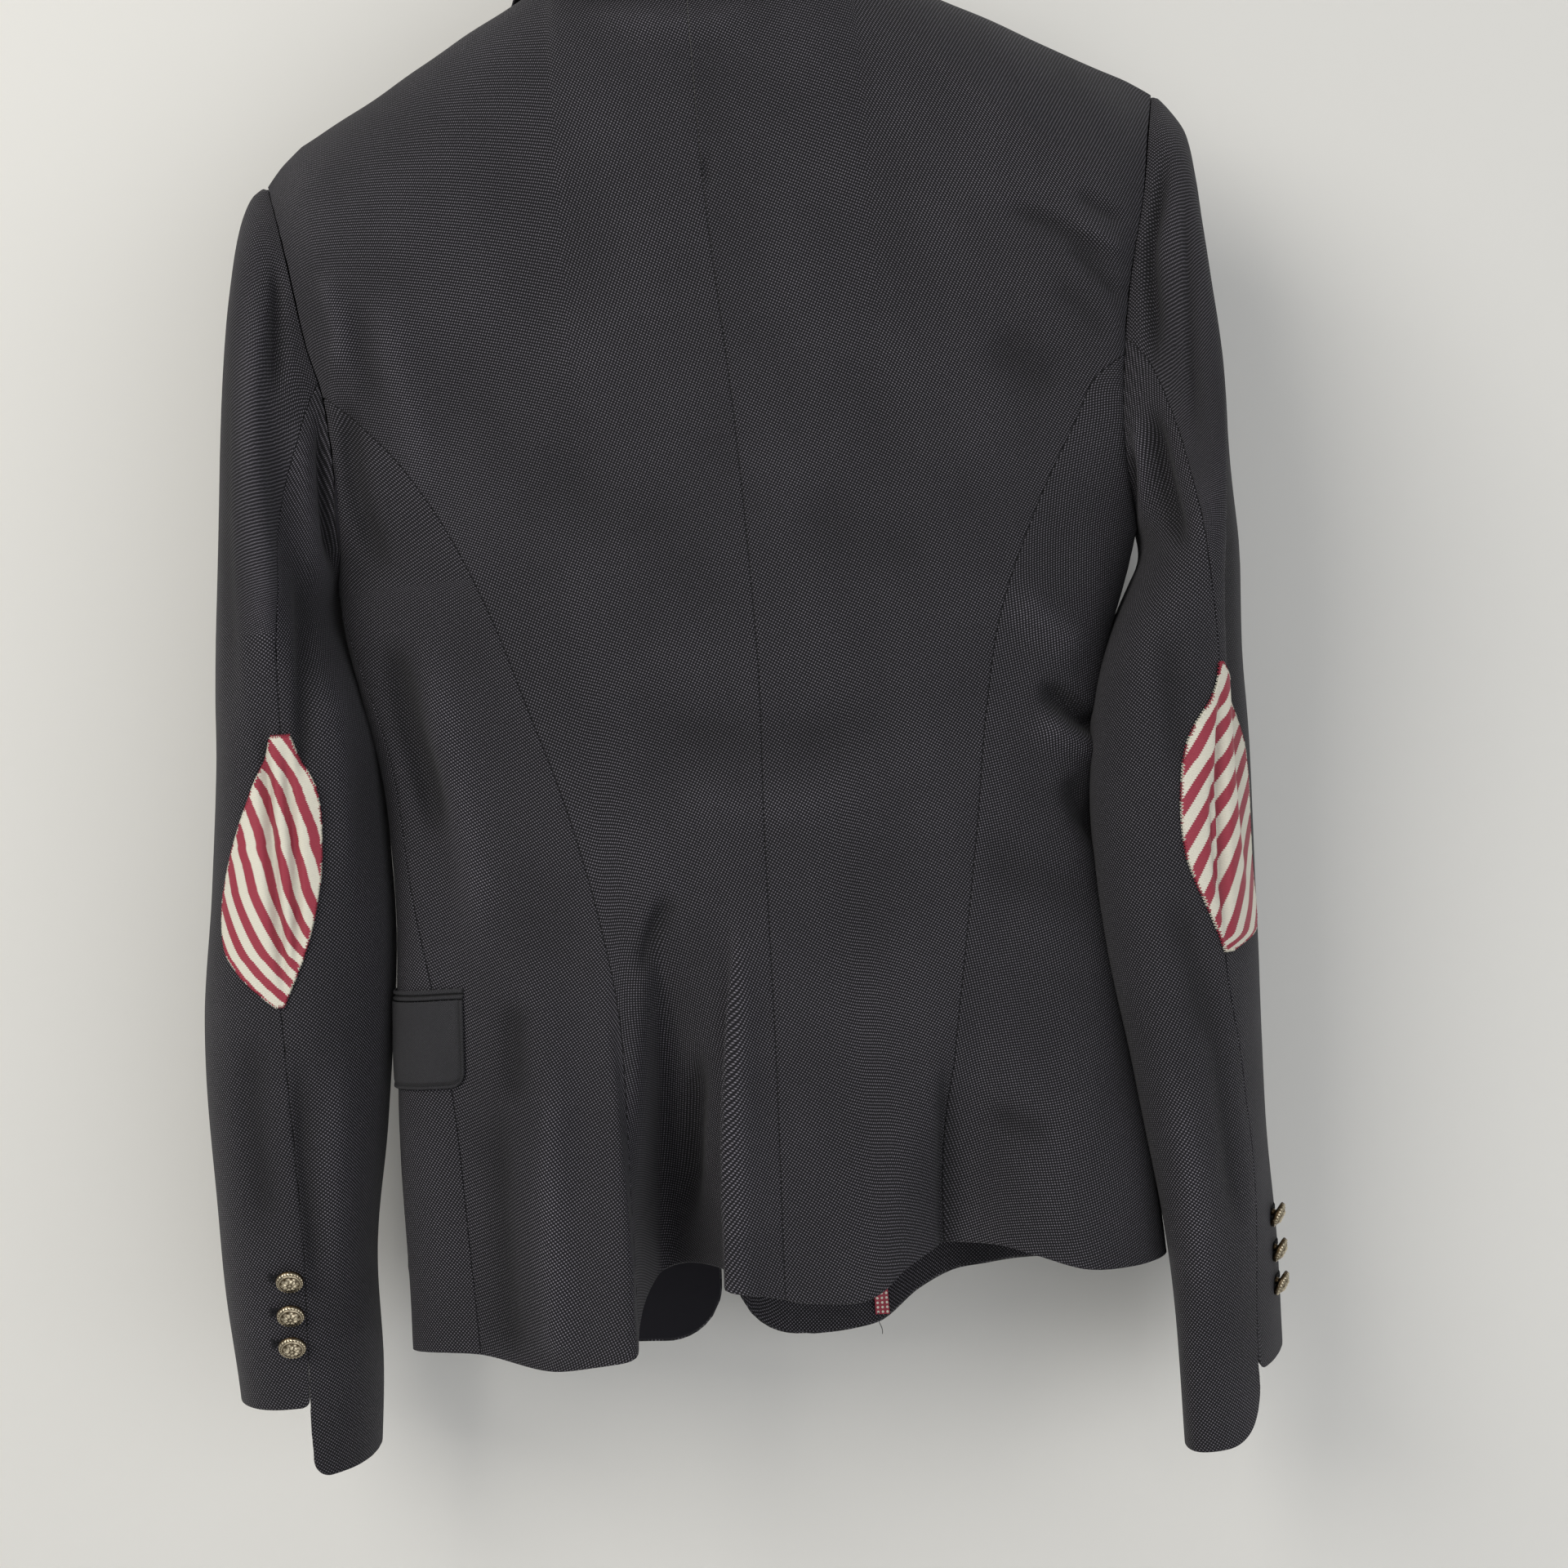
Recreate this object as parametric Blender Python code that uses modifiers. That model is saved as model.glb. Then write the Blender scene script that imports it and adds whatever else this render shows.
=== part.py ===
"""A woman's tailored blazer hanging on a plain hanger, seen first from the back.

Sizes are in millimetres, and MM turns them into metres. +Z is up, -Y is the side of the
jacket's back, and +X is the wearer's right. The origin is the point inside the
top of the hanger's hook, which is where the whole thing is held.
"""

import math

import bmesh
import bpy
import numpy as np
from mathutils import Vector
from mathutils.bvhtree import BVHTree

MM = 0.001
SEAM = 0.25            # half of the gap left at a seam
CLOTH = 1.5            # wall of the jacket cloth, two layers pressed together
TRIM = 1.1             # wall of a flap, a welt or an elbow patch
LEFT, RIGHT = -1, 1
ARMPIT = -350.0        # level where the armholes end and the body becomes one ring
BODY_ROUND = 2.5       # how square the body's ring is
SLEEVE_ROUND = 2.2

# Body ring below the armpit: half widths, and depths behind and in front of the hanger.
BODY = dict(
    z=(-350, -374, -400, -455, -500, -550, -600, -650, -712),
    left=(196, 193.5, 189, 181, 180, 183, 186, 187, 188),
    right=(189, 182, 173, 161, 158, 161, 167, 173, 177),
    back=(52, 51.6, 50, 45, 46, 50, 53, 56, 58),
    front=(46, 45.6, 44, 41, 41, 43, 45, 46, 47),
)
# Shoulder seams, from the side of the neck to the tip.
SHOULDER = {
    RIGHT: dict(x=(0, 72, 114, 200, 213), z=(-67, -67, -89.5, -135, -143)),
    LEFT: dict(x=(0, 72, 120, 197, 207, 215), z=(-67, -67, -94, -136, -145, -154)),
}
NECK_HALF_WIDTH = 72.0
NECK = dict(back=(34.0, 13.0), front=(30.0, 45.0))   # reach from the hanger, drop
SHOULDER_FALL = 0.42   # share of the upper body in which the cloth turns over the shoulder
PULL = dict(top=3.0, armpit=7.0)
# Armholes: height as a share from tip to armpit, distance out, depth behind and in front.
ARMHOLE = {
    RIGHT: dict(
        share=(0, 0.12, 0.26, 0.45, 0.61, 0.78, 0.91, 1),
        x=(213, 206, 200, 190, 184, 181, 183, 189),
        back=(0, 22, 32, 38, 40, 36, 24, 0),
        front=(0, 20, 29, 33, 34, 31, 21, 0),
    ),
    LEFT: dict(
        share=(0, 0.13, 0.24, 0.44, 0.56, 0.73, 0.91, 1),
        x=(215, 207, 202, 195, 189, 187, 189, 196),
        back=(0, 22, 32, 38, 40, 37, 24, 0),
        front=(0, 20, 29, 33, 34, 32, 21, 0),
    ),
}
# Seams, as the distance from the middle (signed, +X) at each level.
CENTRE_BACK = dict(z=(-78, -176, -293, -399, -476, -594, -690), x=(-6, -5, 1, 3, 0, -3, -6))
PRINCESS = {
    LEFT: dict(
        z=(-265, -279, -295, -327, -374, -413, -471, -531, -573, -640, -705),
        x=(-188, -173, -158, -138, -118, -106, -89, -77, -73, -75, -78),
    ),
    RIGHT: dict(
        z=(-273, -284, -300, -336, -388, -433, -483, -549, -592, -640, -680),
        x=(185, 169, 160, 140, 117, 107, 99, 87, 79, 73, 70),
    ),
}
# The right side seam runs straight down the side. The left one has turned to the back.
SIDE_SEAM_LEFT = dict(
    z=(-350, -380, -432, -500, -557, -606, -712),
    x=(-197, -188, -175, -169, -160, -155, -151),
)
EDGE_LEVELS = (-67, -120, -200, -300, -400, -432, -520, -600, -690, -736)
FRONT_EDGE = {
    RIGHT: dict(z=EDGE_LEVELS, x=(72, 58, 42, 19, -6, -12, -13, -19, -32, -33)),
    LEFT: dict(z=EDGE_LEVELS, x=(-72, -58, -42, -19, 6, 12, 6, -16, -38, -40)),
}
UNDERLAP = 4.0         # how far the left front lies behind the right one at the buttons
CORNER = 30.0          # radius of the fronts' lower corners
# Hem height round the body: 0 is the centre back, 1 the side, 2 the centre front.
HEM = {
    LEFT: dict(
        place=(0, 0.1, 0.22, 0.36, 0.44, 0.52, 0.64, 0.82, 1, 1.15, 1.5, 1.7, 2.2),
        z=(-697, -689, -685, -695, -706, -713, -715, -713, -717, -725, -731, -735, -737),
    ),
    RIGHT: dict(
        place=(0, 0.19, 0.26, 0.38, 0.47, 0.56, 0.68, 0.8, 1, 1.3, 1.58, 1.7, 1.82, 2, 2.2),
        z=(-697, -701, -692, -681, -680, -685, -693, -696, -698, -704, -708, -718, -734, -737, -737),
    ),
}
# Folds that run down the back: where they lie at their top and at the hem, the level where
# each begins and where it is full, how wide it is to its left and right, how far out it
# comes, and how far it slides sideways.
FOLDS = (
    dict(name="flute crest", top=-116, hem=-103, starts=-500, full=-690, wide=(34, 34), out=14, slide=0),
    dict(name="flute edge", top=-79, hem=-80, starts=-520, full=-690, wide=(13, 10), out=13, slide=9),
    dict(name="deep valley", top=-42, hem=-46, starts=-495, full=-700, wide=(25, 15), out=-80, slide=-3),
    dict(name="second flute", top=-13, hem=-25, starts=-500, full=-690, wide=(8, 11), out=9, slide=-6),
    dict(name="right recess", top=92, hem=72, starts=-560, full=-690, wide=(24, 24), out=-27, slide=0),
    dict(name="right swell", top=140, hem=134, starts=-545, full=-690, wide=(30, 30), out=7, slide=0),
    dict(name="side hollow", top=-168, hem=-150, starts=-380, full=-470, wide=(16, 16), out=-6, slide=0),
)
FOLD_START = 0.45      # width of a fold where it begins, as a share of its full width
# Sleeves below the armpit: distance out of the inner and outer edges, middle and half
# of the depth, and how far the back of the ring leans away from the middle.
SLEEVE_LEVELS = (-372, -400, -430, -490, -550, -610, -670, -730, -790)
SLEEVE = {
    RIGHT: dict(
        z=SLEEVE_LEVELS,
        inner=(191, 178.5, 170, 163, 165.5, 172.5, 179, 183, 184),
        outer=(238.5, 238, 238, 237, 235, 231, 229, 228, 226),
        middle=(2, 2, 2, 2, 2, 3, 4, 5, 6),
        half=(67, 64.5, 60.5, 55, 52, 50, 48, 46, 45),
        lean=(-4, -6, -9, -10, -11, -14, -17, -20, -21),
    ),
    LEFT: dict(
        z=SLEEVE_LEVELS,
        inner=(202, 195, 188, 185, 187.5, 195, 205, 208, 213),
        outer=(252, 255.5, 258.5, 266, 275, 277, 276, 274, 272),
        middle=(2, 2, 2, 2, 3, 5, 8, 11, 13),
        half=(67, 64.5, 60.5, 55, 52, 50, 48, 46, 45),
        lean=(0, 0, 0, 0, 0, 0, 0, 0, 0),
    ),
}
SLEEVE_TOP = -372.0
CAP_FULLNESS = {RIGHT: 7.0, LEFT: -4.0}   # how far the sleeve head stands out past the sleeve
CAP_DROP = 1.5         # how far the cloth has fallen where it leaves the armhole
FRONT_SEAM_ANGLE = 235.0
SLEEVE_RADIUS = 38.0   # of a typical ring near the cuff, to turn an angle into a distance
ELBOW_SEAM = {
    RIGHT: dict(
        z=(-259, -270, -281, -303, -326, -371, -417, -453, -553, -610, -650, -743),
        x=(179, 187, 193, 200, 205, 210, 214, 211, 208, 214, 217, 213),
    ),
    LEFT: dict(
        z=(-249, -262, -278, -297, -318, -338, -354, -420, -480, -544, -646, -684, -743),
        x=(186, 192, 198, 204, 209, 213, 214, 216, 223, 228, 228, 230, 233),
    ),
}
# Cuffs: lowest level of each half sleeve, and the radius of its corner at the vent.
CUFF = {
    RIGHT: dict(upper=-755, under=-785, upper_corner=10, under_corner=26),
    LEFT: dict(upper=-733, under=-767, upper_corner=4, under_corner=9),
}

PATCH = dict(height=124.0, wide=32.0, top={LEFT: -420, RIGHT: -421}, lift=0.6)
FLAP = dict(
    top={LEFT: -549, RIGHT: -545}, tall=41.0, long=132.0, corner=8.0, lift=1.0,
    start={LEFT: 0.765, RIGHT: 1.02},
)
WELT = dict(tall=5.0, above=0.4, lift=0.5)
# Collar, one half: where its base, its roll and its free edge run, from the centre back.
COLLAR = dict(
    share=(0, 0.3, 0.58, 0.8, 1),
    base=((0, -35, -79), (45, -28, -75), (70, -4, -64.5), (65.5, 24, -83), (55, 38, -116)),
    roll=((0, -38, -51), (43, -30, -47), (64, -3, -40), (60, 26, -66), (53, 43, -108)),
    edge=((0, -53, -90), (56, -44, -85), (86, -5, -70), (103, 33, -101), (96, 44, -127)),
    fold=(2.0, 6.0), crown=1.0, belly=3.5,
)
LAPEL = dict(
    share=(0, 0.08, 0.3, 0.6, 0.85, 1),
    roll_z=(-123, -147, -215, -307, -383, -426),
    edge_x=(94, 110, 96, 66, 31, -3),
    edge_z=(-132, -146, -208, -300, -378, -422),
    lift=3.0,
    clear=1.5,         # between the left lapel and the right front's edge
    narrowest=5.0,
    even=5.0,          # distance over which the fronts' slope is taken
)
# Buttons: diameters, how far each cuff's buttons stand from the elbow seam (in radians round
# the sleeve), and the half section of one, in radii: dome, rim, back plate and shank.
BUTTON = dict(
    cuff=14.0, front=20.0, sides=12, turn={LEFT: 0.24, RIGHT: 0.55}, above=0.25,
    profile=((0, 0.62), (0.45, 0.55), (0.8, 0.36), (1, 0.12), (0.97, 0), (0.3, -0.08), (0.26, -0.34), (0, -0.34)),
)
CUFF_BUTTONS = {LEFT: (-671, -687, -702), RIGHT: (-686, -703, -719)}
FRONT_BUTTONS = (-442, -520)
TAB = dict(x=39.0, top=-715.0, wide=7.0, tall=14.0, lift=0.5)
HANGER = dict(reach=188.0, thick=6.0, below_seam=9.5, centre=-58.0)
HOOK = dict(wire=1.7, radius=17.7, neck=-42.0)

NAVY = (0.012, 0.012, 0.017)
STRIPE = (0.36, 0.04, 0.07)
GILT = (0.42, 0.35, 0.24)
STEEL = (0.55, 0.55, 0.56)
WOOD = (0.30, 0.19, 0.11)


def clear_scene():
    for item in list(bpy.data.objects):
        bpy.data.objects.remove(item, do_unlink=True)


def curve_at(table, key, column, places):
    """Smooth values of a table's column between its rows."""
    keys = np.asarray(table[key], float)
    values = np.asarray(table[column], float)
    if keys[0] > keys[-1]:
        keys, values = keys[::-1], values[::-1]
    slopes = np.diff(values) / np.diff(keys)
    tangents = np.zeros(len(keys))
    tangents[1:-1] = np.where(slopes[:-1] * slopes[1:] > 0, 0.5 * (slopes[:-1] + slopes[1:]), 0)
    tangents[0], tangents[-1] = slopes[0], slopes[-1]
    limit = 2.5 * np.minimum(np.abs(np.r_[slopes[0], slopes]), np.abs(np.r_[slopes, slopes[-1]]))
    tangents = np.clip(tangents, -limit, limit)
    places = np.clip(np.asarray(places, float), keys[0], keys[-1])
    i = np.clip(np.searchsorted(keys, places) - 1, 0, len(keys) - 2)
    step = keys[i + 1] - keys[i]
    t = (places - keys[i]) / step
    rise = t * t * (3 - 2 * t)
    lead = t * (1 - t) ** 2
    tail = -t * t * (1 - t)
    return values[i] * (1 - rise) + values[i + 1] * rise + step * (lead * tangents[i] + tail * tangents[i + 1])


def smooth_step(t):
    t = np.clip(t, 0, 1)
    return t * t * (3 - 2 * t)


def even_angles():
    """Angle for each share of the way round a quarter of a typical body ring."""
    angle = np.linspace(0, math.pi / 2, 400)
    power = 2 / BODY_ROUND
    x, y = 185 * np.sin(angle) ** power, 50 * np.cos(angle) ** power
    way = np.r_[0, np.cumsum(np.hypot(np.diff(x), np.diff(y)))]
    return way / way[-1], angle


WAY, WAY_ANGLE = even_angles()


def shell_section(face, g, z):
    """Body ring at level z: g runs from -1 at the left side to 1 at the right side."""
    angle = np.interp(np.abs(g), WAY, WAY_ANGLE)
    power = 2 / BODY_ROUND
    left = curve_at(BODY, "z", "left", z)
    right = curve_at(BODY, "z", "right", z)
    width = np.where(g < 0, left, right)
    depth = curve_at(BODY, "z", face, z)
    sign = -1 if face == "back" else 1
    x = np.sign(g) * width * np.sin(angle) ** power
    y = sign * depth * np.cos(angle) ** power
    return np.stack([x, y, np.broadcast_to(z, x.shape)], -1)


def top_edge(face, g):
    """Neck curve in the middle and shoulder seams outside it."""
    sign = -1 if face == "back" else 1
    reach, drop = NECK[face]
    x = np.zeros_like(g)
    z = np.zeros_like(g)
    for side in (LEFT, RIGHT):
        tip = SHOULDER[side]["x"][-1]
        here = (g * side) >= 0
        out = np.abs(g) * tip
        x = np.where(here, side * out, x)
        z = np.where(here, np.interp(out, SHOULDER[side]["x"], SHOULDER[side]["z"]), z)
    inside = np.clip(1 - (np.abs(x) / NECK_HALF_WIDTH) ** 2, 0, 1)
    y = sign * (SEAM + reach * np.sqrt(inside))
    return np.stack([x, y, z - drop * inside], -1)


def armhole_at(face, side, share):
    top = SHOULDER[side]["z"][-1]
    x = side * curve_at(ARMHOLE[side], "share", "x", share)
    sign = -1 if face == "back" else 1
    y = sign * curve_at(ARMHOLE[side], "share", face, share)
    return np.stack([x, y, top + (ARMPIT - top) * np.asarray(share, float)], -1)


def armhole_pull(near, share):
    """How much of the way to the armhole the cloth goes, across, in depth and in height. In
    depth it turns late, only beside the armhole, near the armpit."""
    late = PULL["top"] + (PULL["armpit"] - PULL["top"]) * smooth_step((share - 0.5) / 0.5)
    return np.stack([near ** PULL["top"], near**late, near ** PULL["top"]], -1)


def upper_shell(face, g, share):
    """Body above the armpit: share runs from 0 at the shoulder to 1 at the armpit."""
    def sheet(at):
        start, end = top_edge(face, at), shell_section(face, at, np.full_like(at, ARMPIT))
        turn = np.clip(share / SHOULDER_FALL, 0, 1)
        rise = math.sqrt(1 - (1 - turn) ** 2)
        mix = np.array([smooth_step(share), rise, share])
        return start + (end - start) * mix
    points = sheet(g)
    for side in (LEFT, RIGHT):
        rim = np.full_like(g, float(side))
        pull = armhole_pull(np.clip(g * side, 0, 1), share)
        points = points + pull * (armhole_at(face, side, share) - sheet(rim))
    return points


def hem_level(face, g):
    place = np.abs(g) if face == "back" else 2 - np.abs(g)
    return np.where(
        g < 0, curve_at(HEM[LEFT], "place", "z", place), curve_at(HEM[RIGHT], "place", "z", place)
    )


def plain_shell(face, g, row):
    """Unfolded body: row runs from 0 at the shoulder through 1 at the armpit to 2 at the hem."""
    if row < 1:
        return upper_shell(face, g, row)
    z = ARMPIT + (hem_level(face, g) - ARMPIT) * (row - 1)
    return shell_section(face, g, z)


def folded_shell(face, g, row):
    points = plain_shell(face, g, row)
    if face == "front":
        return points
    base = points.copy()
    for fold in FOLDS:
        down = (fold["starts"] - base[:, 2]) / (fold["starts"] - fold["full"])
        strength = smooth_step(down)
        line = fold["top"] + (fold["hem"] - fold["top"]) * np.clip(down, 0, 1)
        grown = FOLD_START + (1 - FOLD_START) * strength
        wide = np.where(base[:, 0] < line, *fold["wide"]) * grown
        bell = np.exp(-(((base[:, 0] - line) / wide) ** 2))
        points[:, 1] -= fold["out"] * strength * bell
        points[:, 0] += fold["slide"] * strength * bell
    return points


def body_points(side, places, row):
    """Points at places round one side: 0 centre back, 1 side, 2 centre front."""
    places = np.asarray(places, float)
    back = folded_shell("back", side * np.clip(places, 0, 1), row)
    front = folded_shell("front", side * (2 - np.clip(places, 1, 3)), row)
    return np.where((places <= 1)[:, None], back, front)


def body_normals(side, places, row, front_piece):
    """Outward normals, from small steps round and down the body."""
    step = 0.004
    low, high = (1.0, 3.0) if front_piece else (-1.0, 1.0)
    if row >= 1:
        low, high = -1.0, 3.0
    before = np.maximum(places - step, low)
    after = np.minimum(places + step, high)
    row_up, row_down = max(row - step, 0.0), min(row + step, 2.0)
    if row >= 1:
        row_up = max(row_up, 1.0)
    else:
        row_down = min(row_down, 0.9999)
    around = signed_points(side, after, row) - signed_points(side, before, row)
    down = body_points(side, places, row_down) - body_points(side, places, row_up)
    normal = side * np.cross(down, around)
    return normal / np.linalg.norm(normal, axis=1)[:, None]


def signed_points(side, places, row):
    """body_points that also crosses the centre back, for places under 0."""
    over = places < 0
    points = body_points(side, np.abs(places), row)
    if over.any():
        points[over] = body_points(-side, -places[over], row)
    return points


def place_of(side, line, row, low, high):
    """Where a seam line crosses a row, as a place round the body, or high if it doesn't."""
    places = np.linspace(low, high, 500)
    back = plain_shell("back", side * np.clip(places, -1, 1), row)
    front = plain_shell("front", side * (2 - np.clip(places, 1, 3)), row)
    points = np.where((places <= 1)[:, None], back, front)
    gap = side * (points[:, 0] - curve_at(line, "z", "x", points[:, 2]))
    crossing = np.nonzero(np.diff(np.sign(gap)))[0]
    if not len(crossing):
        return high
    i = crossing[-1] if low >= 1 else crossing[0]
    share = gap[i] / (gap[i] - gap[i + 1])
    return places[i] + share * (places[i + 1] - places[i])


UPPER_ROWS = [0, 0.02, 0.06, 0.12, 0.2, 0.29, 0.38, 0.48, 0.575, 0.64, 0.72, 0.8, 0.88, 0.94]
LOWER_ROWS = [1 + i / 13 for i in range(14)]
ROWS = UPPER_ROWS + LOWER_ROWS
INSET = SEAM / 190


def princess_place(side, row):
    return place_of(side, PRINCESS[side], row, 0.2, 1.0)


def first_side_row(side):
    """The first row where the side back panel is wide enough to start."""
    top, bottom = SHOULDER[side]["z"][-1], PRINCESS[side]["z"][0]
    joint = (top - bottom) / (top - ARMPIT)
    return next(i for i, row in enumerate(ROWS) if row > joint + 0.005)


def side_place(side, row):
    if row < 1:
        return 1.0
    if side == RIGHT:
        return 1.0
    return place_of(side, SIDE_SEAM_LEFT, row, 0.5, 1.0)


def front_place(side, row):
    return place_of(side, FRONT_EDGE[side], row, 1.0, 2.4)


def panel_grid(side, columns, first, edges, front_piece=False):
    """Outer and inner points of a panel, closer together towards a front's edge."""
    steps = np.linspace(0, 1, columns)
    if front_piece:
        steps = 1 - (1 - steps) ** 1.6
    outer, inner = [], []
    for row in ROWS[first:]:
        start, end = edges(row)
        places = start + INSET + (end - start - 2 * INSET) * steps
        points = signed_points(side, places, row)
        normals = body_normals(side, places, row, front_piece)
        if row == 0:
            normals[np.abs(points[:, 0]) > NECK_HALF_WIDTH] = (0, 0, 1)
        if front_piece:
            points = shape_front(side, points, row)
        outer.append(points)
        inner.append(points - CLOTH * normals)
    return np.array(outer), np.array(inner)


def shape_front(side, points, row):
    """Lays the left front behind the right one, and rounds both lower corners."""
    points = points.copy()
    if side == LEFT:
        near = np.clip(1 - np.abs(points[:, 0] - 5) / 70, 0, 1)
        points[:, 1] -= UNDERLAP * smooth_step(near * 1.6) * smooth_step((-345 - points[:, 2]) / 25)
    edge = points[-1, 0]
    distance = np.clip(side * (points[:, 0] - edge), 0, CORNER)
    lift = CORNER - np.sqrt(CORNER**2 - (CORNER - distance) ** 2)
    return points + np.outer(lift * smooth_step((row - 1.6) / 0.4), (0, 0, 1))


def cloth_wall(name, outer, inner, colour, roughness=0.85):
    """A closed wall: a grid laid on the outer points, thickened to the inner ones."""
    rows, columns = outer.shape[:2]
    body = bmesh.new()
    bmesh.ops.create_grid(body, x_segments=columns - 1, y_segments=rows - 1, size=1)
    label = body.verts.layers.int.new("place")
    ordered = sorted(body.verts, key=lambda v: (round(-v.co.y, 5), round(v.co.x, 5)))
    for index, vertex in enumerate(ordered):
        vertex[label] = index
        vertex.co = outer.reshape(-1, 3)[index] * MM
    made = bmesh.ops.extrude_face_region(body, geom=body.faces[:], use_keep_orig=True)
    for item in made["geom"]:
        if isinstance(item, bmesh.types.BMVert):
            item.co = inner.reshape(-1, 3)[item[label]] * MM
    bmesh.ops.recalc_face_normals(body, faces=body.faces[:])
    bmesh.ops.triangulate(body, faces=body.faces[:])
    return finish(name, body, colour, roughness)


def finish(name, body, colour, roughness=0.8, metallic=0.0):
    mesh = bpy.data.meshes.new(name)
    body.to_mesh(mesh)
    body.free()
    mesh.shade_smooth()
    mesh.set_sharp_from_angle(angle=math.radians(50))
    mesh.materials.append(material(name, colour, roughness, metallic))
    item = bpy.data.objects.new(name, mesh)
    PARTS.objects.link(item)
    return item


def material(name, colour, roughness, metallic):
    made = bpy.data.materials.new(name)
    made.use_nodes = True
    shader = made.node_tree.nodes["Principled BSDF"]
    shader.inputs["Base Color"].default_value = (*colour, 1)
    shader.inputs["Roughness"].default_value = roughness
    shader.inputs["Metallic"].default_value = metallic
    return made


def make_body():
    for side, word in ((LEFT, "left"), (RIGHT, "right")):
        first = first_side_row(side)

        def back_edges(row):
            centre = place_of(side, CENTRE_BACK, row, -0.2, 0.3)
            outer = princess_place(side, row) if ROWS.index(row) >= first else 1.0
            return centre, outer

        def side_edges(row):
            return princess_place(side, row), side_place(side, row)

        def front_edges(row):
            return side_place(side, row), front_place(side, row)

        cloth_wall(f"back_{word}", *panel_grid(side, 17 if side == LEFT else 13, 0, back_edges), NAVY)
        cloth_wall(f"side_back_{word}", *panel_grid(side, 8, first, side_edges), NAVY)
        cloth_wall(f"front_{word}", *panel_grid(side, 11, 0, front_edges, True), NAVY)


def sleeve_ring(side, angles, z):
    """Sleeve ring below the armpit: angle 0 outside, 90 behind, 180 inside, 270 in front."""
    table = SLEEVE[side]
    inner, outer = curve_at(table, "z", "inner", z), curve_at(table, "z", "outer", z)
    power = 2 / SLEEVE_ROUND
    across = np.sign(np.cos(angles)) * np.abs(np.cos(angles)) ** power
    along = np.sign(np.sin(angles)) * np.abs(np.sin(angles)) ** power
    lean = curve_at(table, "z", "lean", z)
    x = (inner + outer) / 2 + across * (outer - inner) / 2 + lean * along
    y = curve_at(table, "z", "middle", z) - curve_at(table, "z", "half", z) * along
    return np.stack([side * x, y, np.broadcast_to(z, x.shape)], -1)


def sleeve_points(side, angles, row):
    """Row 0 is the armhole, 1 the level of the armpit, and lower rows are levels in mm."""
    angles = np.asarray(angles, float)
    if row < 0:
        return sleeve_ring(side, angles, row)
    turn = np.mod(angles, 2 * math.pi)
    behind = turn <= math.pi
    share = (1 - np.cos(turn)) / 2
    start = np.where(
        behind[:, None], armhole_at("back", side, share), armhole_at("front", side, share)
    )
    end = sleeve_ring(side, angles, SLEEVE_TOP)
    control = end.copy()
    control[:, 2] = start[:, 2] - CAP_DROP
    control[:, 0] += side * CAP_FULLNESS[side] * np.clip(np.cos(angles), 0, 1)
    slope = (end - sleeve_ring(side, angles, SLEEVE_TOP - 10)) / 10
    leaving = control - start
    start = start + 2 * SEAM * leaving / np.linalg.norm(leaving, axis=1)[:, None]
    first = start + (control - start) * 2 / 3
    second = end + (control - end) * 2 / 3
    second[:, :2] += slope[:, :2] * (second - end)[:, 2:]
    left = 1 - row
    return start * left**3 + first * 3 * row * left**2 + second * 3 * row**2 * left + end * row**3


CAP_ROWS = [0, 0.1, 0.22, 0.36, 0.5, 0.66, 0.83]
TUBE_ROWS = [float(z) for z in np.linspace(SLEEVE_TOP, -715, 14)]


def elbow_angle(side, row):
    """Where the elbow seam crosses a row of the sleeve."""
    angles = np.radians(np.linspace(25, 150, 300))
    points = sleeve_points(side, angles, row)
    wanted = curve_at(ELBOW_SEAM[side], "z", "x", points[:, 2])
    gap = side * points[:, 0] - wanted
    return float(angles[np.nonzero(np.diff(np.sign(gap)))[0][-1]])


def sleeve_normals(side, angles, row):
    step = 0.02
    around = sleeve_points(side, angles + step, row) - sleeve_points(side, angles - step, row)
    if row < 0:
        down = sleeve_points(side, angles, row - 2) - sleeve_points(side, angles, min(row + 2, SLEEVE_TOP))
    else:
        down = sleeve_points(side, angles, min(row + 0.03, 1)) - sleeve_points(side, angles, max(row - 0.03, 0))
    normal = side * np.cross(around, down)
    return normal / np.linalg.norm(normal, axis=1)[:, None]


def sleeve_grid(side, columns, half, edges):
    """Rows down to the cuff, whose corner at the vent, on the elbow seam, is rounded off."""
    low, corner = CUFF[side][half], CUFF[side][f"{half}_corner"]
    steps = np.linspace(0, 1, columns)
    steps = steps**1.25 if half == "under" else 1 - (1 - steps) ** 1.25
    from_vent = steps if half == "under" else 1 - steps
    outer, inner = [], []
    for row in CAP_ROWS + TUBE_ROWS + [low + 14, low + 6, low + 1.5, low]:
        fade = smooth_step((TUBE_ROWS[-1] - row) / (TUBE_ROWS[-1] - low))
        start, end = edges(row + corner * fade)
        inset = SEAM / 45
        angles = start + inset + (end - start - 2 * inset) * steps
        normals = sleeve_normals(side, angles, row)
        reach = np.clip(from_vent * (end - start) * SLEEVE_RADIUS, 0, corner)
        rise = fade * (corner - np.sqrt(corner**2 - (corner - reach) ** 2))
        points = sleeve_ring(side, angles, row + rise) if row < 0 else sleeve_points(side, angles, row)
        outer.append(points)
        inner.append(points - CLOTH * normals)
    return np.array(outer), np.array(inner)


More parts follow.
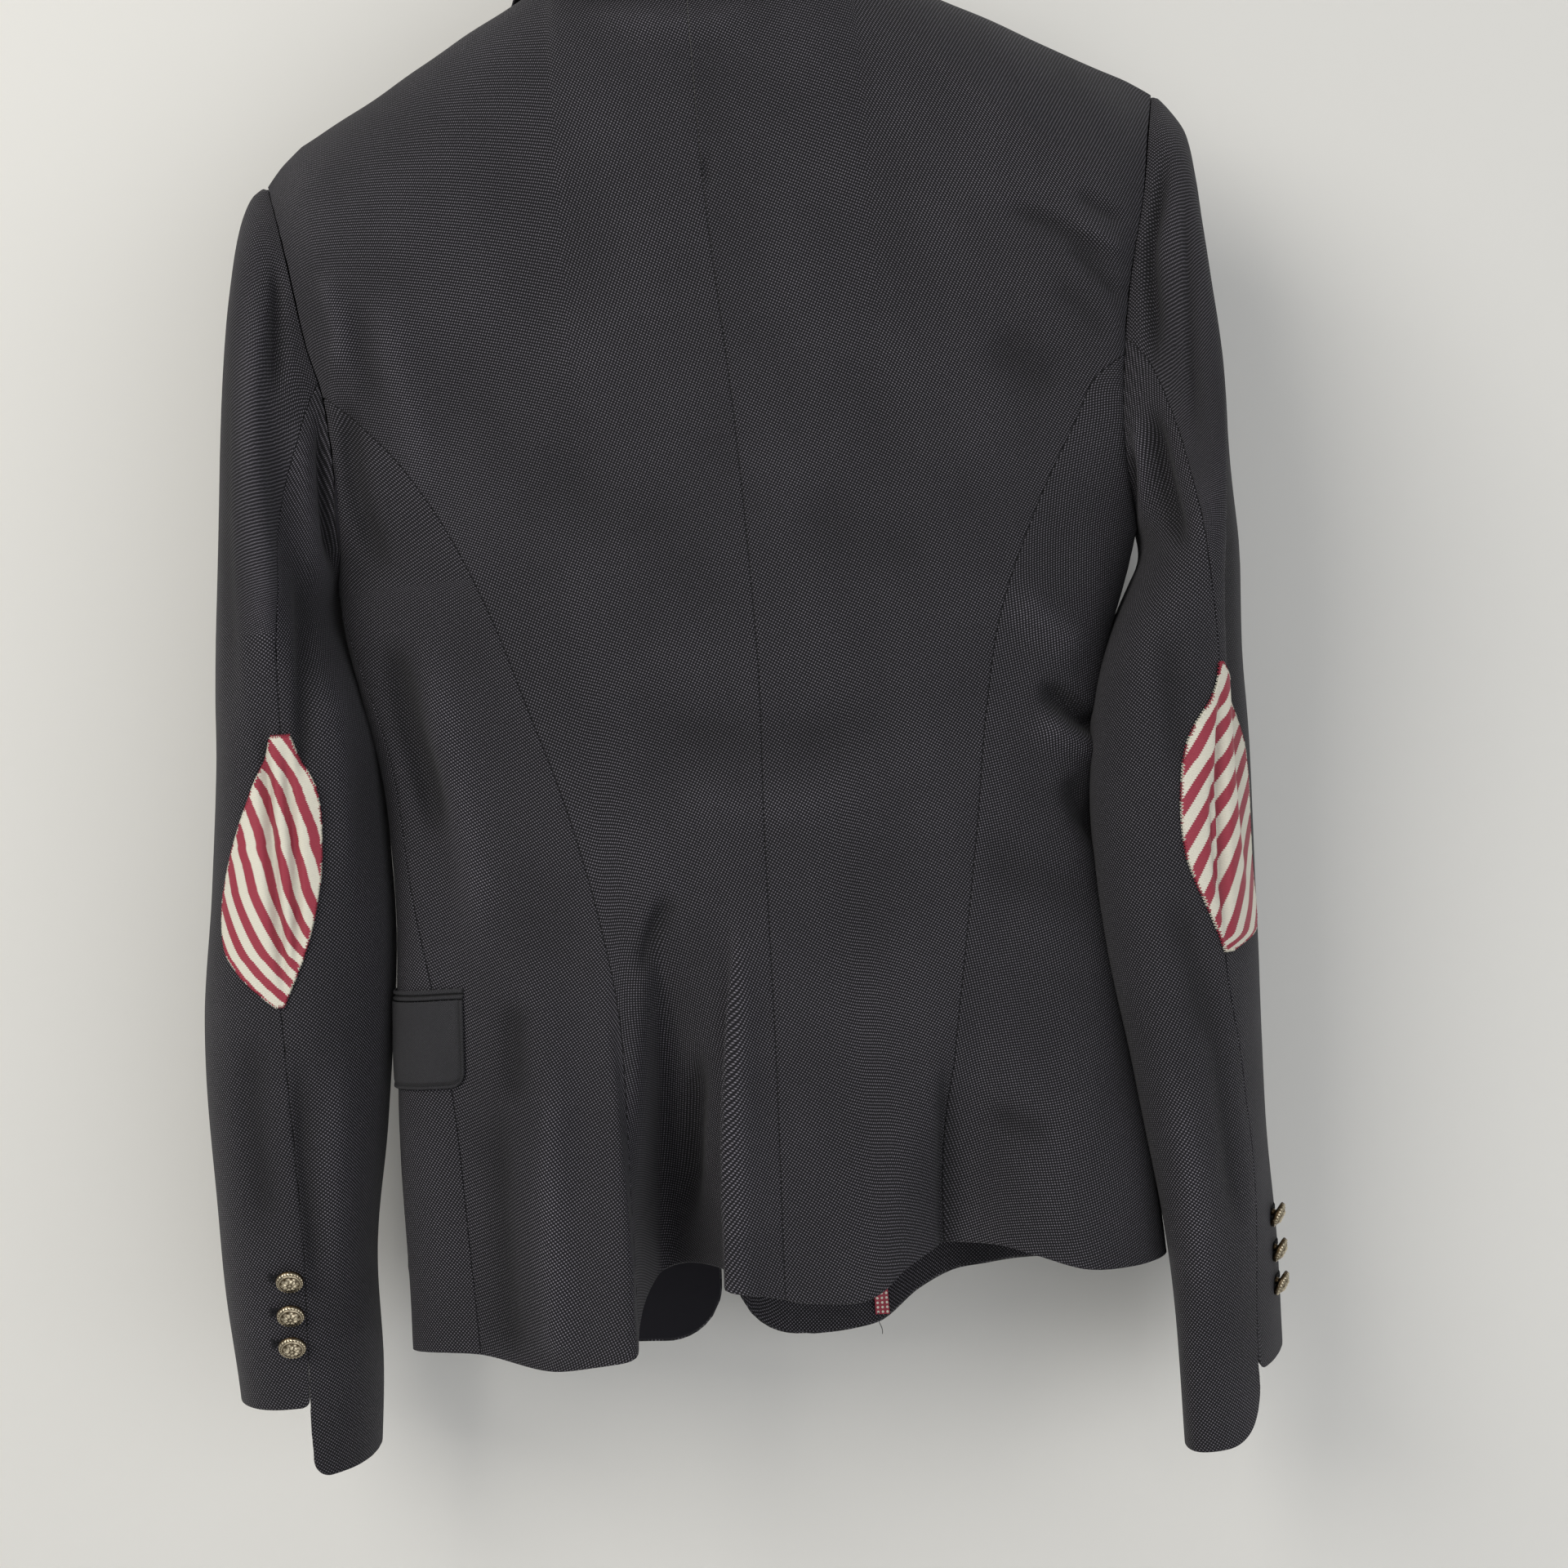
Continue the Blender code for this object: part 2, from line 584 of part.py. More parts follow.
def make_sleeves():
    front = math.radians(FRONT_SEAM_ANGLE)
    for side, word in ((LEFT, "left"), (RIGHT, "right")):
        def upper_edges(row):
            return front - 2 * math.pi, elbow_angle(side, row)

        def under_edges(row):
            return elbow_angle(side, row), front

        cloth_wall(f"upper_sleeve_{word}", *sleeve_grid(side, 12, "upper", upper_edges), NAVY)
        cloth_wall(f"under_sleeve_{word}", *sleeve_grid(side, 10, "under", under_edges), NAVY)
        make_patch(side, word)


def make_patch(side, word):
    """An almond laid on the sleeve's own points, half on each side of the elbow seam."""
    top, tall, wide = PATCH["top"][side], PATCH["height"], PATCH["wide"]
    outer, inner = [], []
    for share in np.linspace(0.015, 0.985, 13):
        level = top - tall * share
        middle = elbow_angle(side, level)
        half = wide * math.sin(math.pi * share) ** 0.85 + 1.2
        ring = sleeve_points(side, np.array([middle - 0.05, middle + 0.05]), level)
        per_radian = np.linalg.norm(ring[1] - ring[0]) / 0.1
        angles = np.linspace(middle - half / per_radian, middle + half / per_radian, 9)
        points = sleeve_points(side, angles, level)
        normals = sleeve_normals(side, angles, level)
        outer.append(points + (PATCH["lift"] + TRIM) * normals)
        inner.append(points + PATCH["lift"] * normals)
    cloth_wall(f"elbow_patch_{word}", np.array(outer), np.array(inner), STRIPE)


def band_on_body(side, start, end, levels, lift, columns, corner=0.0):
    """A strip laid on the body between two places, its lower corners rounded."""
    places = np.linspace(start, end, columns)
    hem = np.array([hem_level("back", np.array([side * min(p, 1.0)]))[0] if p <= 1
                    else hem_level("front", np.array([side * (2 - p)]))[0] for p in places])
    way = np.linspace(0, FLAP["long"], columns)
    near = np.minimum(way, FLAP["long"] - way)
    top = levels[0]
    outer, inner = [], []
    for level in levels:
        cut = np.zeros(columns)
        if corner:
            reach = np.clip(near, 0, corner)
            cut = corner - np.sqrt(corner**2 - (corner - reach) ** 2)
            cut *= (top - level) / (top - levels[-1])
        z = level + cut
        points, normals = np.zeros((columns, 3)), np.zeros((columns, 3))
        for i in range(columns):
            row = 1 + (z[i] - ARMPIT) / (hem[i] - ARMPIT)
            points[i] = signed_points(side, places[i:i + 1], row)[0]
            normals[i] = body_normals(side, places[i:i + 1], row, places[i] > 1)[0]
        outer.append(points + (lift + TRIM) * normals)
        inner.append(points + lift * normals)
    return np.array(outer), np.array(inner)


def make_pockets():
    for side, word in ((LEFT, "left"), (RIGHT, "right")):
        start = FLAP["start"][side]
        end = start + FLAP["long"] / 205
        top = FLAP["top"][side]
        levels = np.linspace(top, top - FLAP["tall"], 5)
        flap = band_on_body(side, start, end, levels, FLAP["lift"], 14, FLAP["corner"])
        cloth_wall(f"pocket_flap_{word}", *flap, NAVY)
        lower = top + WELT["above"]
        levels = np.linspace(lower + WELT["tall"], lower, 2)
        welt = band_on_body(side, start, end, levels, WELT["lift"], 14)
        cloth_wall(f"pocket_welt_{word}", *welt, NAVY)


def front_tree():
    """The fronts' outer surface as triangles, to lay the lapels and buttons on."""
    points, faces = [], []
    steps = 81
    for row in np.linspace(0.02, 2.0, 70):
        points += [Vector(p) for p in plain_shell("front", np.linspace(-0.98, 0.98, steps), row)]
    for i in range(69):
        for j in range(steps - 1):
            corner = i * steps + j
            faces.append((corner, corner + 1, corner + steps + 1, corner + steps))
    return BVHTree.FromPolygons(points, faces)


def lay_on_front(tree, x, z):
    """The point of the fronts at x and z, and the normal over the few millimetres round it."""
    def depth(across, up):
        return tree.ray_cast(Vector((x + across, 300, z + up)), Vector((0, -1, 0)))[0].y
    near = LAPEL["even"]
    slope_x = (depth(near, 0) - depth(-near, 0)) / (2 * near)
    slope_z = (depth(0, near) - depth(0, -near)) / (2 * near)
    normal = np.array((-slope_x, 1, -slope_z))
    return np.array((x, depth(0, 0), z)), normal / np.linalg.norm(normal)


def make_lapels(tree):
    for side, word in ((LEFT, "left"), (RIGHT, "right")):
        outer, inner = [], []
        for share in np.linspace(0, 1, 14):
            roll_z = float(curve_at(LAPEL, "share", "roll_z", share))
            roll_x = float(curve_at(FRONT_EDGE[side], "z", "x", roll_z)) * side
            edge_x = float(curve_at(LAPEL, "share", "edge_x", share))
            edge_z = float(curve_at(LAPEL, "share", "edge_z", share))
            if side == LEFT:
                covered = float(curve_at(FRONT_EDGE[RIGHT], "z", "x", roll_z))
                roll_x = max(roll_x, LAPEL["clear"] - covered)
                edge_x = max(edge_x, roll_x + LAPEL["narrowest"])
            line = []
            for across in np.linspace(0, 1, 6):
                x = roll_x + (edge_x - roll_x) * across
                z = roll_z + (edge_z - roll_z) * across
                point, normal = lay_on_front(tree, side * x, z)
                bulge = LAPEL["lift"] * (0.75 + math.sin(math.pi * across) * 0.5)
                line.append((point + bulge * normal, point + (bulge - CLOTH) * normal))
            outer.append([pair[0] for pair in line])
            inner.append([pair[1] for pair in line])
        cloth_wall(f"lapel_{word}", np.array(outer), np.array(inner), NAVY)


def collar_run(name, shares):
    table = {"share": COLLAR["share"]}
    for axis in range(3):
        table[axis] = [point[axis] for point in COLLAR[name]]
    side = np.where(np.asarray(shares) < 0, -1, 1)
    run = np.stack([curve_at(table, "share", axis, np.abs(shares)) for axis in range(3)], -1)
    run[:, 0] *= side
    return run


def make_collar():
    shares = np.linspace(-1, 1, 27)
    base, roll, edge = (collar_run(name, shares) for name in ("base", "roll", "edge"))
    rows = []
    for t in (0, 0.5, 0.85):
        rows.append(base + (roll - base) * t)
    outward = edge - base
    outward[:, 2] = 0
    outward /= np.linalg.norm(outward, axis=1)[:, None]
    near, far = COLLAR["fold"]
    rows.append(roll + outward * near + np.array((0, 0, COLLAR["crown"])))
    rows.append(roll + outward * far - np.array((0, 0, COLLAR["crown"])))
    for t in (0.3, 0.65, 1):
        belly = COLLAR["belly"] * math.sin(math.pi * t)
        rows.append(roll + outward * (far * (1 - t) + belly) + (edge - roll) * t)
    outer = np.array(rows)
    around = np.gradient(outer, axis=1)
    across = np.gradient(outer, axis=0)
    normals = np.cross(around, across)
    normals /= np.linalg.norm(normals, axis=2)[..., None]
    cloth_wall("collar", outer, outer + CLOTH * normals, NAVY)


def make_button(name, point, normal, diameter):
    radius = diameter / 2
    mesh = bpy.data.meshes.new(name)
    body = bmesh.new()
    turned = [body.verts.new((x * radius * MM, 0, z * radius * MM)) for x, z in BUTTON["profile"]]
    for a, b in zip(turned, turned[1:]):
        body.edges.new((a, b))
    body.to_mesh(mesh)
    body.free()
    mesh.materials.append(material(name, GILT, 0.35, 1.0))
    item = bpy.data.objects.new(name, mesh)
    PARTS.objects.link(item)
    turn = item.modifiers.new("turned", "SCREW")
    turn.angle = 2 * math.pi
    turn.steps = BUTTON["sides"]
    turn.render_steps = BUTTON["sides"]
    turn.use_merge_vertices = True
    turn.merge_threshold = 0.0000001
    turn.use_normal_calculate = True
    item.location = Vector(point) * MM
    item.rotation_mode = "QUATERNION"
    item.rotation_quaternion = Vector(normal).to_track_quat("Z", "Y")


def make_buttons(tree):
    shank = -BUTTON["profile"][-1][1]
    for side, word in ((LEFT, "left"), (RIGHT, "right")):
        rise = shank * BUTTON["cuff"] / 2 + BUTTON["above"]
        for count, level in enumerate(CUFF_BUTTONS[side], 1):
            angle = np.array([elbow_angle(side, float(level)) - BUTTON["turn"][side]])
            point = sleeve_points(side, angle, float(level))[0]
            normal = sleeve_normals(side, angle, float(level))[0]
            make_button(f"cuff_button_{word}_{count}", point + rise * normal, normal, BUTTON["cuff"])
    rise = shank * BUTTON["front"] / 2 + 2 * BUTTON["above"]
    for count, level in enumerate(FRONT_BUTTONS, 1):
        point, normal = lay_on_front(tree, 0.0, level)
        make_button(f"front_button_{count}", point + rise * normal, normal, BUTTON["front"])


def make_tab(tree):
    """A small folded ribbon on the inner face of the right front's lower edge."""
    half = TAB["wide"] / 2
    line = np.array([lay_on_front(tree, TAB["x"] + x, TAB["top"] + half)[0] for x in (-half, half)])
    outer, inner = [], []
    for level in np.linspace(TAB["top"], TAB["top"] - TAB["tall"], 3):
        line[:, 2] = level
        outer.append(line - (0, CLOTH + TAB["lift"], 0))
        inner.append(line - (0, CLOTH + TAB["lift"] + 1, 0))
    cloth_wall("hem_tab", np.array(outer), np.array(inner), STRIPE)


def wire(name, route, radius, sides, colour, roughness, metallic):
    """A round bar along a route, with closed ends."""
    curve = bpy.data.curves.new(name, "CURVE")
    curve.dimensions = "3D"
    curve.bevel_depth = radius * MM
    curve.bevel_resolution = sides
    curve.use_fill_caps = True
    spline = curve.splines.new("POLY")
    spline.points.add(len(route) - 1)
    for spot, point in zip(spline.points, route):
        spot.co = (*(np.array(point) * MM), 1)
    curve.materials.append(material(name, colour, roughness, metallic))
    item = bpy.data.objects.new(name, curve)
    PARTS.objects.link(item)


def make_hanger():
    reach, below = HANGER["reach"], HANGER["below_seam"]
    route = []
    for share in np.linspace(-1, 1, 17):
        x = share * reach
        side = LEFT if x < 0 else RIGHT
        seam = np.interp(abs(x), SHOULDER[side]["x"], SHOULDER[side]["z"])
        rise = np.interp(abs(x), (0, NECK_HALF_WIDTH), (HANGER["centre"] - seam + below, 0))
        route.append((x, 0, seam - below + rise))
    wire("hanger_body", route, HANGER["thick"], 2, WOOD, 0.45, 0.0)
    radius = HOOK["radius"]
    centre = HOOK["wire"] - radius
    foot = HANGER["centre"] + HANGER["thick"] + 0.3
    hook = [(0, 0, foot), (0, 0, HOOK["neck"])]
    for degrees in np.linspace(-60, 200, 18):
        turn = math.radians(degrees)
        hook.append((radius * math.cos(turn), 0, centre + radius * math.sin(turn)))
    wire("hanger_hook", hook, HOOK["wire"], 2, STEEL, 0.3, 1.0)


clear_scene()
PARTS = bpy.data.collections.new("blazer_on_hanger")
bpy.context.scene.collection.children.link(PARTS)
make_body()
make_sleeves()
make_pockets()
FRONT_TREE = front_tree()
make_lapels(FRONT_TREE)
make_collar()
make_buttons(FRONT_TREE)
make_tab(FRONT_TREE)
make_hanger()
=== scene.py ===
# %% [markdown]
# # A tailored blazer on its hanger
# The jacket hangs against a wall and shows its back. Everything here is built round the
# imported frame: the frame gives the true sizes, and each cell makes one piece or one finish.
# Sizes are in millimetres until they go into a mesh, where MM turns them into metres.

# %% Load the frame
import math

import bpy
import numpy as np
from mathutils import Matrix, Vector
from mathutils.bvhtree import BVHTree


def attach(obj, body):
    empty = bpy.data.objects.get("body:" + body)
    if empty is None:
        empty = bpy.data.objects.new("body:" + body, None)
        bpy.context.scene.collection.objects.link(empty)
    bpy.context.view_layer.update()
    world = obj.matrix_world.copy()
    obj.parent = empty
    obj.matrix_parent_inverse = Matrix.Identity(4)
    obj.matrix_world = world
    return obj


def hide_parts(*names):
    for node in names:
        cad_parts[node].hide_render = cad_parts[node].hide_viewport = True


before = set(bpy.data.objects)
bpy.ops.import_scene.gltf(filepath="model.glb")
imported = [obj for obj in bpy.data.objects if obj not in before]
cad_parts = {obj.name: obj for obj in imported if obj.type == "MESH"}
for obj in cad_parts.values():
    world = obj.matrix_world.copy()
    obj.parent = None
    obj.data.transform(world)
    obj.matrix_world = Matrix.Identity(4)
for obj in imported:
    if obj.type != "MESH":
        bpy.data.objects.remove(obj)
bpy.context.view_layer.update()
MM = 0.001
LEFT, RIGHT = -1, 1
WORDS = {LEFT: "left", RIGHT: "right"}
print("frame nodes:", len(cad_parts))

# %% [markdown]
# ## Camera
# The photo was taken about a metre from the jacket, level with its middle and rolled by four
# and a half degrees, so the jacket leans in the picture. A 50 mm lens on a 36 mm sensor has
# the same reach at that distance.

# %% Camera
CAMERA_SPOT, CAMERA_ROLL = (0.0105, -1.050, -0.460), math.radians(4.5)
bpy.ops.object.camera_add(location=CAMERA_SPOT, rotation=(math.pi / 2, CAMERA_ROLL, 0))
CAMERA = bpy.context.object
CAMERA.name = "photo_camera"
CAMERA.data.lens = 50
CAMERA.data.sensor_width = 36
bpy.context.scene.camera = CAMERA
print("camera at", [round(x, 3) for x in CAMERA.location])

# %% [markdown]
# ## The jacket's sizes
# A tailor drafts a jacket from a few lengths at named levels. These tables hold the same
# lengths: half widths and depths of the body at each level, the armholes, the seams, the hem
# and the sleeves. All the cloth is worked out from them.

# %% Sizes of the body and sleeves
ARMPIT = -350.0
BODY_ROUND, SLEEVE_ROUND = 2.5, 2.2
BODY = dict(
    z=(-350, -374, -400, -455, -500, -550, -600, -650, -712),
    left=(196, 193.5, 189, 181, 180, 183, 186, 187, 188),
    right=(189, 182, 173, 161, 158, 161, 167, 173, 177),
    back=(52, 51.6, 50, 45, 46, 50, 53, 56, 58),
    front=(46, 45.6, 44, 41, 41, 43, 45, 46, 47),
)
SHOULDER = {
    RIGHT: dict(x=(0, 72, 114, 200, 213), z=(-67, -67, -89.5, -135, -143)),
    LEFT: dict(x=(0, 72, 120, 197, 207, 215), z=(-67, -67, -94, -136, -145, -154)),
}
NECK_HALF_WIDTH = 72.0
NECK = dict(back=(34.0, 13.0), front=(30.0, 45.0))
SHOULDER_FALL, FOLD_START = 0.42, 0.45
PULL = dict(top=3.0, armpit=7.0)
ARMHOLE = {
    RIGHT: dict(
        share=(0, 0.12, 0.26, 0.45, 0.61, 0.78, 0.91, 1),
        x=(213, 206, 200, 190, 184, 181, 183, 189),
        back=(0, 22, 32, 38, 40, 36, 24, 0),
        front=(0, 20, 29, 33, 34, 31, 21, 0),
    ),
    LEFT: dict(
        share=(0, 0.13, 0.24, 0.44, 0.56, 0.73, 0.91, 1),
        x=(215, 207, 202, 195, 189, 187, 189, 196),
        back=(0, 22, 32, 38, 40, 37, 24, 0),
        front=(0, 20, 29, 33, 34, 32, 21, 0),
    ),
}
CENTRE_BACK = dict(z=(-78, -176, -293, -399, -476, -594, -690), x=(-6, -5, 1, 3, 0, -3, -6))
PRINCESS = {
    LEFT: dict(
        z=(-265, -279, -295, -327, -374, -413, -471, -531, -573, -640, -705),
        x=(-188, -173, -158, -138, -118, -106, -89, -77, -73, -75, -78),
    ),
    RIGHT: dict(
        z=(-273, -284, -300, -336, -388, -433, -483, -549, -592, -640, -680),
        x=(185, 169, 160, 140, 117, 107, 99, 87, 79, 73, 70),
    ),
}
SIDE_SEAM_LEFT = dict(
    z=(-350, -380, -432, -500, -557, -606, -712), x=(-197, -188, -175, -169, -160, -155, -151)
)
EDGE_LEVELS = (-67, -120, -200, -300, -400, -432, -520, -600, -690, -736)
FRONT_EDGE = {
    RIGHT: dict(z=EDGE_LEVELS, x=(72, 58, 42, 19, -6, -12, -13, -19, -32, -33)),
    LEFT: dict(z=EDGE_LEVELS, x=(-72, -58, -42, -19, 6, 12, 6, -16, -38, -40)),
}
UNDERLAP, CORNER = 4.0, 30.0
HEM = {
    LEFT: dict(
        place=(0, 0.1, 0.16, 0.22, 0.34, 0.39, 0.46, 0.55, 0.64, 0.82, 1, 1.15, 1.5, 1.7, 2.2),
        z=(-697, -689, -684, -685, -696, -708, -713, -716, -715, -713, -717, -725, -731, -735, -737),
    ),
    RIGHT: dict(
        place=(0, 0.12, 0.19, 0.26, 0.38, 0.47, 0.56, 0.68, 0.8, 1, 1.3, 1.58, 1.7, 1.82, 2, 2.2),
        z=(-697, -699, -696, -687, -681, -681, -685, -693, -696, -698, -704, -708, -718, -734, -737, -737),
    ),
}
SLEEVE_LEVELS = (-372, -400, -430, -490, -550, -610, -670, -730, -790)
SLEEVE = {
    RIGHT: dict(
        z=SLEEVE_LEVELS,
        inner=(187, 172.5, 163, 156.5, 160, 169, 178, 183, 184),
        outer=(236, 236, 236, 235, 233, 230, 229, 228, 226),
        middle=(2, 2, 2, 2, 2, 3, 4, 5, 6),
        half=(67, 64.5, 60.5, 55, 52, 50, 48, 46, 45),
        lean=(-4, -6, -9, -10, -11, -14, -17, -20, -21),
    ),
    LEFT: dict(
        z=SLEEVE_LEVELS,
        inner=(197, 189, 183, 182.5, 186, 195, 205, 208, 213),
        outer=(252, 255.5, 258.5, 266, 275, 277, 276, 274, 272),
        middle=(2, 2, 2, 2, 3, 5, 8, 11, 13),
        half=(67, 64.5, 60.5, 55, 52, 50, 48, 46, 45),
        lean=(0, 0, 0, 0, 0, 0, 0, 0, 0),
    ),
}
SLEEVE_TOP, FRONT_SEAM_ANGLE = -372.0, 235.0
CAP_FULLNESS = {RIGHT: -3.0, LEFT: -4.0}
CAP_LINE = dict(z=(-400, -372, -310, -255, -215, -190, -165, -145), x=(0, 0, -3, -4, -2, 1, 3.5, 0))
ELBOW_SEAM = {
    RIGHT: dict(
        z=(-259, -270, -281, -303, -326, -371, -417, -453, -553, -610, -650, -743),
        x=(179, 187, 193, 200, 205, 210, 214, 211, 208, 214, 217, 213),
    ),
    LEFT: dict(
        z=(-249, -262, -278, -297, -318, -338, -354, -420, -480, -544, -646, -684, -743),
        x=(186, 192, 198, 204, 209, 213, 214, 216, 223, 228, 228, 230, 233),
    ),
}
CUFF = {
    RIGHT: dict(upper=-755, under=-785, upper_corner=10, under_corner=26),
    LEFT: dict(upper=-733, under=-767, upper_corner=4, under_corner=9),
}
CLOTH, TRIM, SEAM, JOIN = 1.5, 1.1, 0.25, 0.02
print("centre back is", CENTRE_BACK["z"][0] - CENTRE_BACK["z"][-1], "mm long")

# %% [markdown]
# ## Curves through the sizes
# Between two named levels the cloth runs smoothly. This curve goes through every value of a
# table and never swings past it, as a tailor's curved ruler does.

# %% Smooth curves through a table
def curve_at(table, key, column, places):
    keys = np.asarray(table[key], float)
    values = np.asarray(table[column], float)
    if keys[0] > keys[-1]:
        keys, values = keys[::-1], values[::-1]
    slopes = np.diff(values) / np.diff(keys)
    tangents = np.zeros(len(keys))
    tangents[1:-1] = np.where(slopes[:-1] * slopes[1:] > 0, 0.5 * (slopes[:-1] + slopes[1:]), 0)
    tangents[0], tangents[-1] = slopes[0], slopes[-1]
    limit = 2.5 * np.minimum(np.abs(np.r_[slopes[0], slopes]), np.abs(np.r_[slopes, slopes[-1]]))
    tangents = np.clip(tangents, -limit, limit)
    places = np.clip(np.asarray(places, float), keys[0], keys[-1])
    i = np.clip(np.searchsorted(keys, places) - 1, 0, len(keys) - 2)
    step = keys[i + 1] - keys[i]
    t = (places - keys[i]) / step
    rise = t * t * (3 - 2 * t)
    lead, tail = t * (1 - t) ** 2, -t * t * (1 - t)
    bend = step * (lead * tangents[i] + tail * tangents[i + 1])
    return values[i] * (1 - rise) + values[i + 1] * rise + bend


def smooth_step(t):
    t = np.clip(t, 0, 1)
    return t * t * (3 - 2 * t)


def lengths(line):
    """How far along a line each of its points lies."""
    return np.r_[0, np.cumsum(np.linalg.norm(np.diff(line, axis=0), axis=1))]


print("waist half width on the left:", float(curve_at(BODY, "z", "left", -500)))

# %% [markdown]
# ## The folds of the back
# Below the waist the back is wider than the space it hangs in, so it falls into flutes. Each
# row is one fold: where it runs at its top and at the hem, where it begins and is full, how
# wide it is, how far it comes out or goes in, and how far it slides sideways over its
# neighbour. A narrow start that widens downwards looks like hanging cloth, where an even one
# would look like a pipe.

# %% Folds of the back
FOLDS = (
    dict(name="flute crest", top=-116, hem=-108, starts=-500, full=-690, wide=(30, 28), out=19, slide=0),
    dict(name="flute edge", top=-79, hem=-87, starts=-520, full=-690, wide=(13, 8), out=14, slide=11),
    dict(name="deep valley", top=-48, hem=-64, starts=-495, full=-700, wide=(11, 29), out=-66, slide=-3),
    dict(name="second flute", top=-13, hem=-25, starts=-500, full=-690, wide=(6, 13), out=13, slide=-7),
    dict(name="right recess", top=92, hem=72, starts=-560, full=-690, wide=(24, 24), out=-27, slide=0),
    dict(name="right swell", top=140, hem=134, starts=-545, full=-690, wide=(30, 30), out=7, slide=0),
    dict(name="side hollow", top=-168, hem=-150, starts=-380, full=-470, wide=(16, 16), out=-6, slide=0),
)
print("folds below the waist:", len(FOLDS))

# %% [markdown]
# ## The body as one surface
# The body is a flattened ring at each level, closed at the top by the shoulder seams and cut
# at the sides by the armholes. A place round the ring is 0 at the centre back, 1 at the side
# and 2 at the centre front. A row is 0 at the shoulder, 1 at the armpit and 2 at the hem.

# %% Points on the body
def even_angles():
    angle = np.linspace(0, math.pi / 2, 400)
    power = 2 / BODY_ROUND
    x, y = 185 * np.sin(angle) ** power, 50 * np.cos(angle) ** power
    way = np.r_[0, np.cumsum(np.hypot(np.diff(x), np.diff(y)))]
    return way / way[-1], angle


WAY, WAY_ANGLE = even_angles()


def shell_section(face, g, z):
    angle = np.interp(np.abs(g), WAY, WAY_ANGLE)
    power = 2 / BODY_ROUND
    width = np.where(g < 0, curve_at(BODY, "z", "left", z), curve_at(BODY, "z", "right", z))
    sign = -1 if face == "back" else 1
    x = np.sign(g) * width * np.sin(angle) ** power
    y = sign * curve_at(BODY, "z", face, z) * np.cos(angle) ** power
    return np.stack([x, y, np.broadcast_to(z, x.shape)], -1)


def top_edge(face, g):
    sign = -1 if face == "back" else 1
    reach, drop = NECK[face]
    x, z = np.zeros_like(g), np.zeros_like(g)
    for side in (LEFT, RIGHT):
        here = (g * side) >= 0
        out = np.abs(g) * SHOULDER[side]["x"][-1]
        x = np.where(here, side * out, x)
        z = np.where(here, np.interp(out, SHOULDER[side]["x"], SHOULDER[side]["z"]), z)
    inside = np.clip(1 - (np.abs(x) / NECK_HALF_WIDTH) ** 2, 0, 1)
    return np.stack([x, sign * (SEAM + reach * np.sqrt(inside)), z - drop * inside], -1)


def armhole_at(face, side, share):
    top = SHOULDER[side]["z"][-1]
    sign = -1 if face == "back" else 1
    x = side * curve_at(ARMHOLE[side], "share", "x", share)
    y = sign * curve_at(ARMHOLE[side], "share", face, share)
    return np.stack([x, y, top + (ARMPIT - top) * np.asarray(share, float)], -1)


def armhole_pull(near, share):
    """How much of the way to the armhole the cloth goes, across, in depth and in height."""
    late = PULL["top"] + (PULL["armpit"] - PULL["top"]) * smooth_step((share - 0.5) / 0.5)
    return np.stack([near ** PULL["top"], near**late, near ** PULL["top"]], -1)


def upper_shell(face, g, share):
    def sheet(at):
        start, end = top_edge(face, at), shell_section(face, at, np.full_like(at, ARMPIT))
        turn = np.clip(share / SHOULDER_FALL, 0, 1)
        mix = np.array([smooth_step(share), math.sqrt(1 - (1 - turn) ** 2), share])
        return start + (end - start) * mix
    points = sheet(g)
    for side in (LEFT, RIGHT):
        rim = np.full_like(g, float(side))
        pull = armhole_pull(np.clip(g * side, 0, 1), share)
        points = points + pull * (armhole_at(face, side, share) - sheet(rim))
    return points


def hem_level(face, g):
    place = np.abs(g) if face == "back" else 2 - np.abs(g)
    return np.where(
        g < 0, curve_at(HEM[LEFT], "place", "z", place), curve_at(HEM[RIGHT], "place", "z", place)
    )


def plain_shell(face, g, row):
    if row < 1:
        return upper_shell(face, g, row)
    return shell_section(face, g, ARMPIT + (hem_level(face, g) - ARMPIT) * (row - 1))


def with_folds(plain):
    points = plain.copy()
    for fold in FOLDS:
        down = (fold["starts"] - plain[..., 2]) / (fold["starts"] - fold["full"])
        strength = smooth_step(down)
        line = fold["top"] + (fold["hem"] - fold["top"]) * np.clip(down, 0, 1)
        grown = FOLD_START + (1 - FOLD_START) * strength
        wide = np.where(plain[..., 0] < line, *fold["wide"]) * grown
        bell = np.exp(-(((plain[..., 0] - line) / wide) ** 2))
        points[..., 1] -= fold["out"] * strength * bell
        points[..., 0] += fold["slide"] * strength * bell
    return points


def body_points(side, places, row):
    """Points round one side; a place under 0 is across the centre back."""
    places = np.asarray(places, float)
    back = with_folds(plain_shell("back", side * np.clip(places, -1, 1), row))
    front = plain_shell("front", side * (2 - np.clip(places, 1, 3)), row)
    return np.where((places <= 1)[:, None], back, front)


def points_at_level(side, places, z):
    """The same surface below the armpit, at levels in mm instead of rows."""
    back = with_folds(shell_section("back", side * np.clip(places, -1, 1), z))
    front = shell_section("front", side * (2 - np.clip(places, 1, 3)), z)
    return np.where((places <= 1)[..., None], back, front)


print("hem at the centre back:", body_points(LEFT, [0.0], 2.0)[0].round(1))

# %% [markdown]
# ## Where the seams cross a row
# A seam is drafted as a line on the cloth. To cut the surface there, each row is searched for
# the place where it crosses the line.

